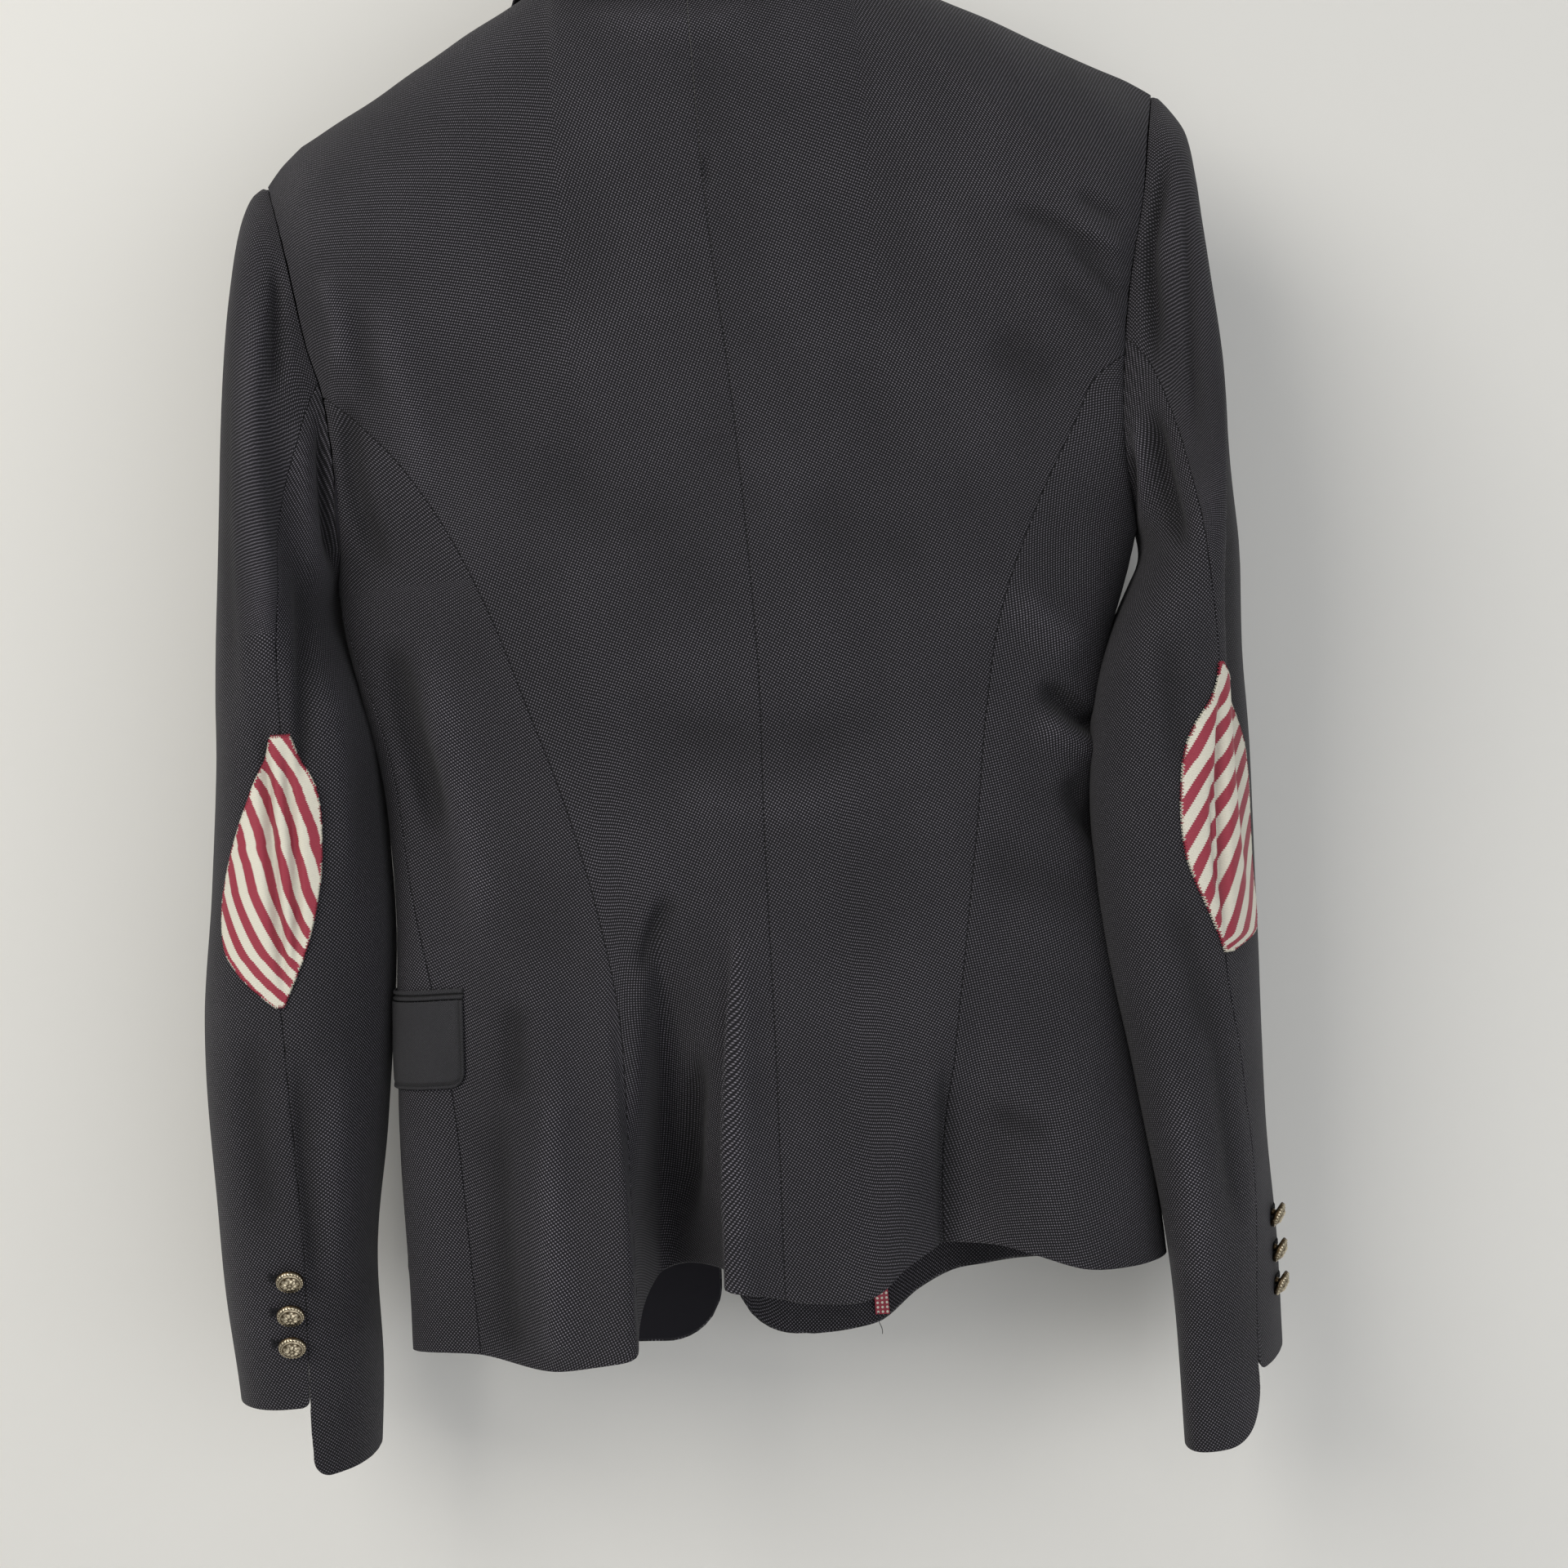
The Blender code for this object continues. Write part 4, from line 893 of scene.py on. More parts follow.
def grid_normals(points, sign):
    around, down = np.gradient(points, axis=1), np.gradient(points, axis=0)
    normal = sign * np.cross(down, around)
    return normal / np.linalg.norm(normal, axis=-1)[..., None]


def falls(points):
    """How far down its own column each point of a grid lies."""
    down = np.linalg.norm(np.diff(points, axis=0), axis=2)
    return np.r_[np.zeros((1, points.shape[1])), np.cumsum(down, axis=0)]


print("cloth helpers ready")

# %% [markdown]
# ## Body panels
# The body has six panels: two backs that meet at the centre, two side backs with the curved
# princess seams, and two fronts. Each one is cut out of the surface between its seams, creased,
# rolled in at its edges and puckered along its stitches.

# %% Cut one body panel
GRAIN = dict(
    back_left=18, back_right=-14, side_back_left=-24, side_back_right=26, front_left=4, front_right=-4
)
COLUMNS = dict(back=88, side_back=44, front=60, upper=88, under=72)
UPPER_ROWS, LOWER_ROWS = 104, 150
HEM_LINE = dict(rise=0.30, above=40, wide=2.2)


def turned(uv, degrees):
    c, s = math.cos(math.radians(degrees)), math.sin(math.radians(degrees))
    return uv @ np.array([[c, s], [-s, c]])


def shape_front(side, points, row):
    """Lays the left front behind the right one, and rounds both lower corners."""
    points = points.copy()
    if side == LEFT:
        near = np.clip(1 - np.abs(points[:, 0] - 5) / 70, 0, 1)
        points[:, 1] -= UNDERLAP * smooth_step(near * 1.6) * smooth_step((-345 - points[:, 2]) / 25)
    distance = np.clip(side * (points[:, 0] - points[-1, 0]), 0, CORNER)
    lift = CORNER - np.sqrt(CORNER**2 - (CORNER - distance) ** 2)
    return points + np.outer(lift * smooth_step((row - 1.6) / 0.4), (0, 0, 1))


def body_rows(first, upper, lower):
    long_up, long_down = 250 * (1 - first), 350
    above = first + (1 - first) * stations(long_up, upper) / long_up
    below = 1 + stations(long_down, lower) / long_down
    return np.r_[above[:-4], below[3:]]


def body_panel(side, first, columns, start_of, end_of, is_front=False):
    rows = body_rows(first, max(int(UPPER_ROWS * (1 - first)), 12), LOWER_ROWS)
    points, uv, reach = [], [], []
    for row in rows:
        dense = np.linspace(start_of(side, row), end_of(side, row), 260)
        line = body_points(side, dense, row)
        way = lengths(line)
        positions = JOIN + stations(way[-1] - 2 * JOIN, columns)
        found = body_points(side, np.interp(positions, way, dense), row)
        if is_front:
            found = shape_front(side, found, row)
        points.append(found)
        reach.append(np.minimum(positions, way[-1] - positions) - JOIN)
        uv.append(np.stack([positions if not is_front else positions - way[-1], 0 * positions], -1))
    points, uv, reach = np.array(points), np.array(uv), np.array(reach)
    fall = falls(points)
    uv[..., 1] = -fall[:, points.shape[1] // 2][:, None]
    normals = grid_normals(points, side)
    hem, top = fall[-1][None] - fall, fall
    base = points.copy()
    height = drape(points, normals, "back", "front")
    # Painted shade for the troughs and painted highlight for the ridges, from the creases' height.
    shade = hollow(height)
    stitched = np.exp(-(((hem - HEM_LINE["above"]) / HEM_LINE["wide"]) ** 2))
    height += HEM_LINE["rise"] * stitched * (rows[:, None] > 1)
    height += edge_roll(reach) + edge_roll(hem) + edge_roll(top)
    height += puckers(reach, fall + 37 * side, 0.16) + puckers(hem, uv[..., 0], 0.05)
    points = points + height[..., None] * normals
    return base, points, uv, normals, shade


print("a body panel has up to", UPPER_ROWS + LOWER_ROWS, "rows")

# %% Back, side back and front panels
for side in (LEFT, RIGHT):
    word = WORDS[side]
    joint = first_side_row(side)

    def back_end(side, row, joint=joint):
        return princess_place(side, row) if row > joint + 1e-6 else 1.0

    jobs = (
        (f"back_{word}", 0.0, COLUMNS["back"], centre_place, back_end, False),
        (f"side_back_{word}", joint, COLUMNS["side_back"], princess_place, side_place, False),
        (f"front_{word}", 0.0, COLUMNS["front"], side_place, front_place, True),
    )
    for name, *job in jobs:
        base, points, uv, normals, shade = body_panel(side, *job)
        inside = NAVY if name == "front_right" else LINING
        grain = turned(uv, GRAIN[name])
        panel = cloth_piece(f"{name}_cloth", points, grain, normals, name,
                            inner=inside, shade=shade)

# %% [markdown]
# ## Sleeves
# A tailored sleeve has two halves. The upper half covers the shoulder side and the outside, and
# the under half lies against the body. They meet at the front and at the elbow seam, which
# stops short of the cuff and leaves a vent for the buttons.

# %% Cut one sleeve half
CAP_ROWS, TUBE_ROWS, VENT_TOP = 84, 140, -715


def sleeve_half(side, half):
    low, corner = CUFF[side][half], CUFF[side][f"{half}_corner"]
    front = math.radians(FRONT_SEAM_ANGLE)
    cap = stations(210, CAP_ROWS) / 210
    tube = SLEEVE_TOP - stations(SLEEVE_TOP - low, TUBE_ROWS)
    rows = np.r_[cap[:-4], tube[3:]]
    points, uv, reach, vent = [], [], [], []
    for row in rows:
        fade = smooth_step((VENT_TOP - row) / (VENT_TOP - low))
        elbow = elbow_angle(side, row + corner * fade)
        start, end = (front - 2 * math.pi, elbow) if half == "upper" else (elbow, front)
        dense = np.linspace(start, end, 240)
        line = sleeve_points(side, dense, row)
        way = lengths(line)
        positions = JOIN + stations(way[-1] - 2 * JOIN, COLUMNS[half])
        from_vent = positions if half == "under" else way[-1] - positions
        near = np.clip(from_vent - JOIN, 0, corner)
        rise = corner - np.sqrt(corner**2 - (corner - near) ** 2)
        angles = np.interp(positions, way, dense)
        if row < 0:
            found = sleeve_ring(side, angles, row + fade * rise)
        else:
            found = sleeve_points(side, angles, row)
        points.append(found)
        uv.append(np.stack([positions - way[-1] / 2, 0 * positions], -1))
        reach.append(np.minimum(positions, way[-1] - positions) - JOIN)
        vent.append(from_vent)
    points, uv, reach, vent = (np.array(a) for a in (points, uv, reach, vent))
    fall = falls(points)
    normals = grid_normals(points, -side)
    hem = fall[-1][None] - fall
    uv[..., 1] = points[..., 2] if half == "under" else -fall[:, points.shape[1] // 2][:, None]
    base = points.copy()
    height = drape(points, normals, f"sleeve_{WORDS[side]}", "front_sleeve")
    height *= smooth_step(fall / 12)
    # Painted shade for the troughs and painted highlight for the ridges, from the creases' height.
    shade = hollow(height)
    height += edge_roll(reach) + edge_roll(hem) + edge_roll(fall)
    height += puckers(reach, fall, 0.13) + puckers(hem, uv[..., 0], 0.05)
    return base, points + height[..., None] * normals, uv, normals, shade


# %% Both sleeves
for side in (LEFT, RIGHT):
    for half in ("upper", "under"):
        name = f"{half}_sleeve_{WORDS[side]}"
        base, points, uv, normals, shade = sleeve_half(side, half)
        grain = turned(uv, 7 * side)
        panel = cloth_piece(f"{name}_cloth", points, grain, normals, name,
                            inner=LINING, shade=shade)

# %% [markdown]
# ## Trimmings: their finishes
# The elbow patches are a silky twill in crimson and cream stripes. Their weave steps along each
# stripe's edge, so the stripes' borders are finely toothed. The tab is a red ribbon with pale
# dots. The buttons are an old gilt that has stayed dark in its hollows.

# %% Striped twill and dotted ribbon
CRIMSON, CREAM = (0.36, 0.028, 0.055, 1), (0.80, 0.765, 0.64, 1)
STRIPE_PERIOD, STRIPE_SHARE = 8.8, 0.49


def striped_material(name):
    made, tree, sockets = plain_material(name, 0.5, sheen=0.12)
    place = node(tree, "ShaderNodeUVMap", uv_map="cloth").outputs[0]
    at = node(tree, "ShaderNodeSeparateXYZ", {0: place}).outputs
    tooth = maths(tree, "PINGPONG", maths(tree, "ADD", at[0], at[1]), 0.00055)
    across = maths(tree, "DIVIDE", maths(tree, "ADD", at[0], tooth), STRIPE_PERIOD * MM)
    share = maths(tree, "FRACT", maths(tree, "ADD", across, 50.0))
    stripe = maths(tree, "LESS_THAN", share, STRIPE_SHARE)
    colour = mixed(tree, stripe, CREAM, CRIMSON)
    twill = use_group(tree, TWILL, Place=place, Pitch=0.00085, Colour=colour)
    # The patch carries the sleeve's painted crease shade and highlight, more weakly.
    tree.links.new(painted_crease_shade(tree, twill["Colour"], 0.12), sockets["Base Color"])
    bumped(tree, sockets, twill["Height"], 0.6, 0.0002)
    sockets["Specular IOR Level"].default_value = 0.4
    return made


def dotted_material(name, rows=3, wide=7.0):
    made, tree, sockets = plain_material(name, 0.6, sheen=0.1)
    place = node(tree, "ShaderNodeUVMap", uv_map="cloth").outputs[0]
    at = node(tree, "ShaderNodeSeparateXYZ", {0: place}).outputs
    pitch = wide / rows * MM
    cells = [maths(tree, "SUBTRACT", maths(tree, "FRACT", maths(tree, "DIVIDE", axis, pitch)), 0.5)
             for axis in (at[0], at[1])]
    square = [maths(tree, "MULTIPLY", cell, cell) for cell in cells]
    dot = maths(tree, "LESS_THAN", maths(tree, "ADD", square[0], square[1]), 0.075)
    twill = use_group(tree, TWILL, Place=place, Pitch=0.0006, Colour=mixed(tree, dot, CRIMSON, CREAM))
    tree.links.new(twill["Colour"], sockets["Base Color"])
    return made


STRIPED = striped_material("striped_twill")
RIBBON = dotted_material("dotted_ribbon")
RED_THREAD = twill_material("red_thread", CRIMSON, pitch=0.0004, roughness=0.5)
CREAM_THREAD = twill_material("cream_thread", CREAM, pitch=0.0004, roughness=0.5)
print("stripes repeat every", STRIPE_PERIOD, "mm")


# %% Metal and wood
def aged_metal(name, bright, dark, roughness):
    """Metal that is darker and duller in the hollows of its relief."""
    made, tree, sockets = plain_material(name, roughness, metallic=1.0)
    place = node(tree, "ShaderNodeTexCoord").outputs["Object"]
    relief = node(tree, "ShaderNodeAttribute", attribute_name="relief").outputs["Fac"]
    spots = node(tree, "ShaderNodeTexNoise", {"Vector": place, "Scale": 900.0, "Detail": 3.0})
    raised = maths(tree, "ADD", relief, maths(tree, "MULTIPLY_ADD", spots.outputs["Fac"], 0.5, -0.25))
    raised = node(tree, "ShaderNodeClamp", {"Value": raised}).outputs[0]
    tree.links.new(mixed(tree, raised, dark, bright), sockets["Base Color"])
    dull = maths(tree, "MULTIPLY_ADD", raised, -0.25, roughness + 0.25)
    tree.links.new(dull, sockets["Roughness"])
    return made


def wood_material(name):
    made, tree, sockets = plain_material(name, 0.38)
    place = node(tree, "ShaderNodeTexCoord").outputs["Object"]
    stretched = node(tree, "ShaderNodeMapping", {"Vector": place, "Scale": (6.0, 160.0, 160.0)})
    grain = node(tree, "ShaderNodeTexNoise", {"Vector": stretched.outputs[0], "Scale": 1.0, "Detail": 6.0})
    tree.links.new(mixed(tree, grain.outputs["Fac"], (0.30, 0.16, 0.075, 1), (0.58, 0.38, 0.21, 1)),
                   sockets["Base Color"])
    bumped(tree, sockets, grain.outputs["Fac"], 0.2, 0.0003)
    sockets["Coat Weight"].default_value = 0.4
    return made


def wire_material(name):
    made, tree, sockets = plain_material(name, 0.28, metallic=1.0)
    place = node(tree, "ShaderNodeTexCoord").outputs["Object"]
    scuffs = node(tree, "ShaderNodeTexNoise", {"Vector": place, "Scale": 240.0, "Detail": 4.0})
    tree.links.new(mixed(tree, scuffs.outputs["Fac"], (0.50, 0.50, 0.51, 1), (0.72, 0.72, 0.73, 1)),
                   sockets["Base Color"])
    tree.links.new(maths(tree, "MULTIPLY_ADD", scuffs.outputs["Fac"], 0.25, 0.18), sockets["Roughness"])
    return made


GILT = aged_metal("old_gilt", (0.93, 0.82, 0.60, 1), (0.07, 0.045, 0.022, 1), 0.15)
WOOD = wood_material("hanger_wood")
STEEL = wire_material("hook_steel")
print("metals and wood ready")

# %% [markdown]
# ## Tubes: wires and threads
# A wire, a stitch or a loose thread is a curve with a round bevel, turned into a mesh. All the
# stitches of one kind are splines of a single curve, so each kind becomes one piece.

# %% Tubes along routes
def tube(name, routes, radius, material, slot, sides=3, replaced=None, smooth=False):
    """One mesh of round tubes along routes in mm."""
    curve = bpy.data.curves.new(name, "CURVE")
    curve.dimensions = "3D"
    curve.bevel_depth = radius * MM
    curve.bevel_resolution = sides - 2
    curve.resolution_u = 6
    curve.use_fill_caps = True
    for route in routes:
        spline = curve.splines.new("NURBS" if smooth else "POLY")
        spline.points.add(len(route) - 1)
        if smooth:
            spline.use_endpoint_u = True
            spline.order_u = 4
        for spot, point in zip(spline.points, route):
            spot.co = (*(np.array(point, float) * MM), 1)
    curve.materials.append(material)
    piece = bpy.data.objects.new(name, curve)
    bpy.context.scene.collection.objects.link(piece)
    select_only(piece)
    bpy.ops.object.convert(target="MESH")
    piece = bpy.context.object
    bpy.ops.object.shade_smooth_by_angle(angle=math.radians(50))
    if not piece.data.uv_layers:
        piece.data.uv_layers.new(name="cloth")
    piece.data.uv_layers[0].name = "cloth"
    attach(piece, "root")
    if replaced:
        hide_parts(replaced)
    return piece


print("a stitch is a tube too")

# %% [markdown]
# ## Elbow patches
# Each patch is a leaf shape laid over the elbow seam. Its two edges bow by different amounts,
# because the sleeve turns away on one side, and each table gives the half widths along the
# patch as they lie on the cloth. The sleeve's creases carry on through the patch.

# %% Elbow patches
PATCH = {
    LEFT: dict(
        top=-420, tall=124, grain=-30, scale=1.0,
        share=(0, 0.08, 0.2, 0.32, 0.47, 0.64, 0.77, 0.88, 0.96, 1),
        out=(4, 7, 14, 22, 31, 37, 34, 21, 8, 2),
        inside=(4, 8.5, 18, 22.5, 23.5, 20.5, 16, 10, 4.5, 2),
    ),
    RIGHT: dict(
        top=-420, tall=133, grain=-38, scale=0.84,
        share=(0, 0.06, 0.12, 0.19, 0.27, 0.37, 0.47, 0.63, 0.74, 0.84, 0.94, 1),
        out=(2, 9, 16, 22, 27, 30, 31, 31, 31, 31, 28, 5),
        inside=(1, 2.5, 6, 13, 18, 20.5, 21.5, 20, 15.5, 10, 4, 1),
    ),
}
PATCH_LIFT, PATCH_WALL = 1.6, 0.8


def patch_grid(side, rows=92, columns=58):
    """Points on the sleeve under the patch, their normals and the distance to its edge."""
    table = PATCH[side]
    points, normals, reach = [], [], []
    for share in stations(table["tall"], rows) / table["tall"]:
        level = table["top"] - table["tall"] * float(share)
        middle = elbow_angle(side, level)
        pair = sleeve_points(side, [middle - 0.05, middle + 0.05], level)
        per_mm = 0.1 / np.linalg.norm(pair[1] - pair[0])
        out, inside = (float(curve_at(table, "share", key, share)) for key in ("out", "inside"))
        across = stations(out + inside, columns) - out
        angles = middle + across * per_mm
        points.append(sleeve_points(side, angles, level))
        normals.append(sleeve_normals(side, angles, level))
        reach.append(np.minimum(across + out, inside - across))
    points, normals, reach = np.array(points), np.array(normals), np.array(reach)
    return points, normals, np.minimum(reach, stations(table["tall"], rows)[:, None] * 0.9 + 0.2)


def arc_uv(points):
    """Lengths across and down the cloth, from its middle column and its top row."""
    across = np.linalg.norm(np.diff(points, axis=1), axis=2)
    across = np.concatenate([np.zeros((len(points), 1)), np.cumsum(across, axis=1)], axis=1)
    middle = points.shape[1] // 2
    fall = lengths(points[:, middle])[:, None]
    return np.stack([across - across[:, middle:middle + 1], -fall + 0 * across], -1)


def elbow_patch(side):
    word = WORDS[side]
    flat, normals, reach = patch_grid(side)
    height = drape(flat, normals, f"sleeve_{word}", "front_sleeve")
    # Painted shade for the troughs and painted highlight for the ridges, from the creases' height.
    shade = hollow(height)
    height += PATCH_LIFT
    height += 0.5 * edge_roll(reach * 1.4) + puckers(reach, 40 * flat[..., 2] / 9, 0.10)
    points = flat + height[..., None] * normals
    uv = arc_uv(points)
    grain = turned(uv * PATCH[side]["scale"], PATCH[side]["grain"])
    piece = cloth_piece(f"elbow_patch_{word}_twill", points, grain, normals, f"elbow_patch_{word}",
                        STRIPED, thick=PATCH_WALL, shade=shade)
    return points, normals


def around(grid):
    """The outline of a grid, as one closed line."""
    return np.concatenate([grid[0], grid[1:, -1], grid[-1, -2::-1], grid[-2:0:-1, 0]])


def edge_stitches(name, grid, normals, pitch, reach, radius, colours):
    """Short stitches over an edge, in runs of each colour."""
    line, up = around(grid), around(normals)
    inner = around(grid[2:-2, 2:-2])
    way = lengths(line)
    spots = np.arange(0, way[-1], pitch)
    at = np.stack([np.interp(spots, way, line[:, i]) for i in range(3)], -1)
    top = np.stack([np.interp(spots, way, up[:, i]) for i in range(3)], -1)
    nearest = np.argmin(np.linalg.norm(inner[None] - at[:, None], axis=2), axis=1)
    inward = inner[nearest] - at
    inward /= np.linalg.norm(inward, axis=1)[:, None]
    runs = {key: [] for key in colours}
    for i, spot in enumerate(spots):
        key = list(colours)[int(spot // 9 + 0.5 * math.sin(spot / 13)) % len(colours)]
        slant = 0.25 * math.sin(i * 2.4)
        start = at[i] - 0.45 * inward[i] - 0.55 * top[i]
        middle = at[i] - 0.1 * inward[i] + 0.20 * top[i]
        end = at[i] + (reach + slant) * inward[i] + 0.10 * top[i]
        runs[key].append((start, middle, end))
    for key, stitches in runs.items():
        tube(f"{name}_{key}", stitches, radius, colours[key], "striped_twill")


for side in (LEFT, RIGHT):
    grid, normals = elbow_patch(side)
    edge_stitches(f"patch_stitches_{WORDS[side]}", grid, normals, 0.8, 0.85, 0.2,
                  dict(red=RED_THREAD, cream=CREAM_THREAD))

# %% [markdown]
# ## Pockets
# Each pocket has a flap in a smoother cloth, with a line of stitches along its lower edge, under
# two narrow welts. They lie across the side seam and follow the body round.

# %% Flaps and welts
FLAP = dict(
    top={LEFT: -549, RIGHT: -545}, tall=41.0, long=132.0, corner=8.0, lift=1.9,
    start={LEFT: 0.73, RIGHT: 1.02}, per_place=205.0, stitch_line=2.3,
    rows=44, columns=104,
)
WELT = dict(tall=5.0, above=0.4, lift=1.4, rows=15, columns=70)
# Painted shade darkens the flap's stitch groove and the welts' slit and lower edge.
GROOVE_SHADE = -2.6


def band(side, levels, columns, corner=0.0):
    """A strip of the body's surface below the waist, its lower corners rounded."""
    way = stations(FLAP["long"], columns)
    places = FLAP["start"][side] + way / FLAP["per_place"]
    reach = np.clip(np.minimum(way, FLAP["long"] - way), 0, corner) if corner else 0 * way
    cut = corner - np.sqrt(corner**2 - (corner - reach) ** 2)
    z = levels[:, None] + cut * ((levels[0] - levels) / (levels[0] - levels[-1]))[:, None]
    points = points_at_level(side, np.broadcast_to(places, z.shape), z)
    normals = grid_normals(points, side)
    edge = np.minimum(np.minimum(way, FLAP["long"] - way), (z - z[-1]))
    return points, normals, edge


def pocket(side):
    word = WORDS[side]
    levels = FLAP["top"][side] - stations(FLAP["tall"], FLAP["rows"])
    points, normals, edge = band(side, levels, FLAP["columns"], FLAP["corner"])
    height = drape(points, normals, "back", "front") + FLAP["lift"]
    groove = np.exp(-(((edge - FLAP["stitch_line"]) / 0.55) ** 2))
    height += edge_roll(edge) - 0.6 * groove
    height += 0.5 * smooth_step(edge / 16)
    height += puckers(edge, points[..., 0] + points[..., 2], 0.05)
    raised = points + height[..., None] * normals
    uv = arc_uv(raised)
    # The flap's colour gets painted shade along its stitch groove.
    piece = cloth_piece(f"pocket_flap_{word}_cloth", raised, uv, normals, f"pocket_flap_{word}",
                        FACING, thick=TRIM, shade=GROOVE_SHADE * groove)
    stitches = []
    from_edge = stations(FLAP["tall"], FLAP["rows"])[::-1] * -1 + FLAP["tall"]
    row = int(np.argmin(np.abs(from_edge - FLAP["stitch_line"])))
    line = raised[-1 - row, 3:-3]
    way = lengths(line)
    for start in np.arange(1.0, way[-1] - 3, 2.6):
        spots = (start, start + 0.9, start + 1.8)
        stitches.append([[np.interp(t, way, line[:, i]) for i in range(3)] for t in spots])
    tube(f"flap_stitches_{word}", stitches, 0.16, THREAD, "navy_facing")
    levels = FLAP["top"][side] + WELT["above"] + WELT["tall"] - np.linspace(0, WELT["tall"], WELT["rows"])
    points, normals, _ = band(side, levels, WELT["columns"])
    down = np.linspace(0, 1, WELT["rows"])[:, None]
    height = drape(points, normals, "back", "front") + WELT["lift"]
    split = np.exp(-(((down - 0.5) / 0.09) ** 2))
    # A mask for painted shade: the slit between the two welts and their lower edge.
    slit = split + smooth_step((down - 0.86) / 0.14)
    height = height + 0.55 * np.abs(np.sin(2 * math.pi * down)) - split
    raised = points + height[..., None] * normals
    uv = arc_uv(raised)
    piece = cloth_piece(f"pocket_welt_{word}_cloth", raised, uv, normals, f"pocket_welt_{word}",
                        FACING, thick=TRIM, shade=GROOVE_SHADE * slit + 0 * height)


for side in (LEFT, RIGHT):
    pocket(side)

# %% [markdown]
# ## Lapels and collar
# The lapels turn back over the fronts from the top button up, and the collar stands round the
# neck and falls outward. Both are laid out from the same measures as the frame's solids.

# %% Lapels
LAPEL = dict(
    share=(0, 0.08, 0.3, 0.6, 0.85, 1),
    roll_z=(-123, -147, -215, -307, -383, -426),
    edge_x=(94, 110, 96, 66, 31, -3),
    edge_z=(-132, -146, -208, -300, -378, -422),
    lift=3.0, clear=1.5, narrowest=5.0, even=5.0,
)


def front_tree():
    """The fronts' outer surface as faces, to lay the lapels and buttons on."""
    points, faces = [], []
    levels, steps = 70, 81
    for row in np.linspace(0.02, 2.0, levels):
        points += [Vector(p) for p in plain_shell("front", np.linspace(-0.98, 0.98, steps), row)]
    for i in range(levels - 1):
        for j in range(steps - 1):
            corner = i * steps + j
            faces.append((corner, corner + 1, corner + steps + 1, corner + steps))
    return BVHTree.FromPolygons(points, faces)


FRONT_TREE = front_tree()


def lay_on_front(x, z):
    def depth(across, up):
        return FRONT_TREE.ray_cast(Vector((x + across, 300, z + up)), Vector((0, -1, 0)))[0].y
    near = LAPEL["even"]
    slope_x = (depth(near, 0) - depth(-near, 0)) / (2 * near)
    slope_z = (depth(0, near) - depth(0, -near)) / (2 * near)
    normal = np.array((-slope_x, 1, -slope_z))
    return np.array((x, depth(0, 0), z)), normal / np.linalg.norm(normal)


def lapel(side):
    word = WORDS[side]
    flat, normals, height = [], [], []
    for share in stations(320, 96) / 320:
        keys = ("roll_z", "edge_x", "edge_z")
        roll_z, edge_x, edge_z = (float(curve_at(LAPEL, "share", key, share)) for key in keys)
        roll_x = float(curve_at(FRONT_EDGE[side], "z", "x", roll_z)) * side
        if side == LEFT:
            covered = float(curve_at(FRONT_EDGE[RIGHT], "z", "x", roll_z))
            roll_x = max(roll_x, LAPEL["clear"] - covered)
            edge_x = max(edge_x, roll_x + LAPEL["narrowest"])
        wide = math.hypot(edge_x - roll_x, edge_z - roll_z)
        line = []
        for across in stations(wide, 34) / wide:
            x, z = roll_x + (edge_x - roll_x) * across, roll_z + (edge_z - roll_z) * across
            spot = lay_on_front(side * x, z)
            rolled = min(across * wide / 2.6, 1.0)
            body = 0.75 + math.sin(math.pi * across) * 0.5
            edge = 0.25 + 0.75 * math.sqrt(1 - (1 - rolled) ** 2)
            bulge = LAPEL["lift"] * body * edge
            line.append((*spot, bulge))
        flat.append([item[0] for item in line])
        normals.append([item[1] for item in line])
        height.append([item[2] for item in line])
    flat, normals, height = np.array(flat), np.array(normals), np.array(height)
    height += 0.25 * np.sin(flat[..., 2] / 37) * np.sin(flat[..., 0] / 19)
    points = flat + height[..., None] * normals
    uv = arc_uv(points)
    piece = cloth_piece(f"lapel_{word}_cloth", points, turned(uv, 12 * side), normals, f"lapel_{word}")


for side in (LEFT, RIGHT):
    lapel(side)

# %% Collar
COLLAR = dict(
    share=(0, 0.3, 0.58, 0.8, 1),
    base=((0, -35, -79), (45, -28, -75), (70, -4, -64.5), (65.5, 24, -83), (55, 38, -116)),
    roll=((0, -38, -51), (43, -30, -47), (64, -3, -40), (60, 26, -66), (53, 43, -108)),
    edge=((0, -53, -90), (56, -44, -85), (86, -5, -70), (103, 33, -101), (96, 44, -127)),
    fold=(2.0, 6.0), crown=1.0, belly=3.5,
)


def collar_run(name, shares):
    table = {"share": COLLAR["share"]}
    for axis in range(3):
        table[axis] = [point[axis] for point in COLLAR[name]]
    run = np.stack([curve_at(table, "share", axis, np.abs(shares)) for axis in range(3)], -1)
    run[:, 0] *= np.where(shares < 0, -1, 1)
    return run


def rounded(rows, count):
    """A smooth surface through a few rows, as a soft fold goes through its own bends."""
    way = np.linspace(0, len(rows) - 1, count)
    i = np.clip(way.astype(int), 0, len(rows) - 2)
    t = (way - i)[:, None, None]
    held = np.concatenate([rows[:1], rows, rows[-1:]])
    a, b, c, d = held[i], held[i + 1], held[i + 2], held[i + 3]
    return 0.5 * (2 * b + (c - a) * t + (2 * a - 5 * b + 4 * c - d) * t**2 + (3 * b - a - 3 * c + d) * t**3)


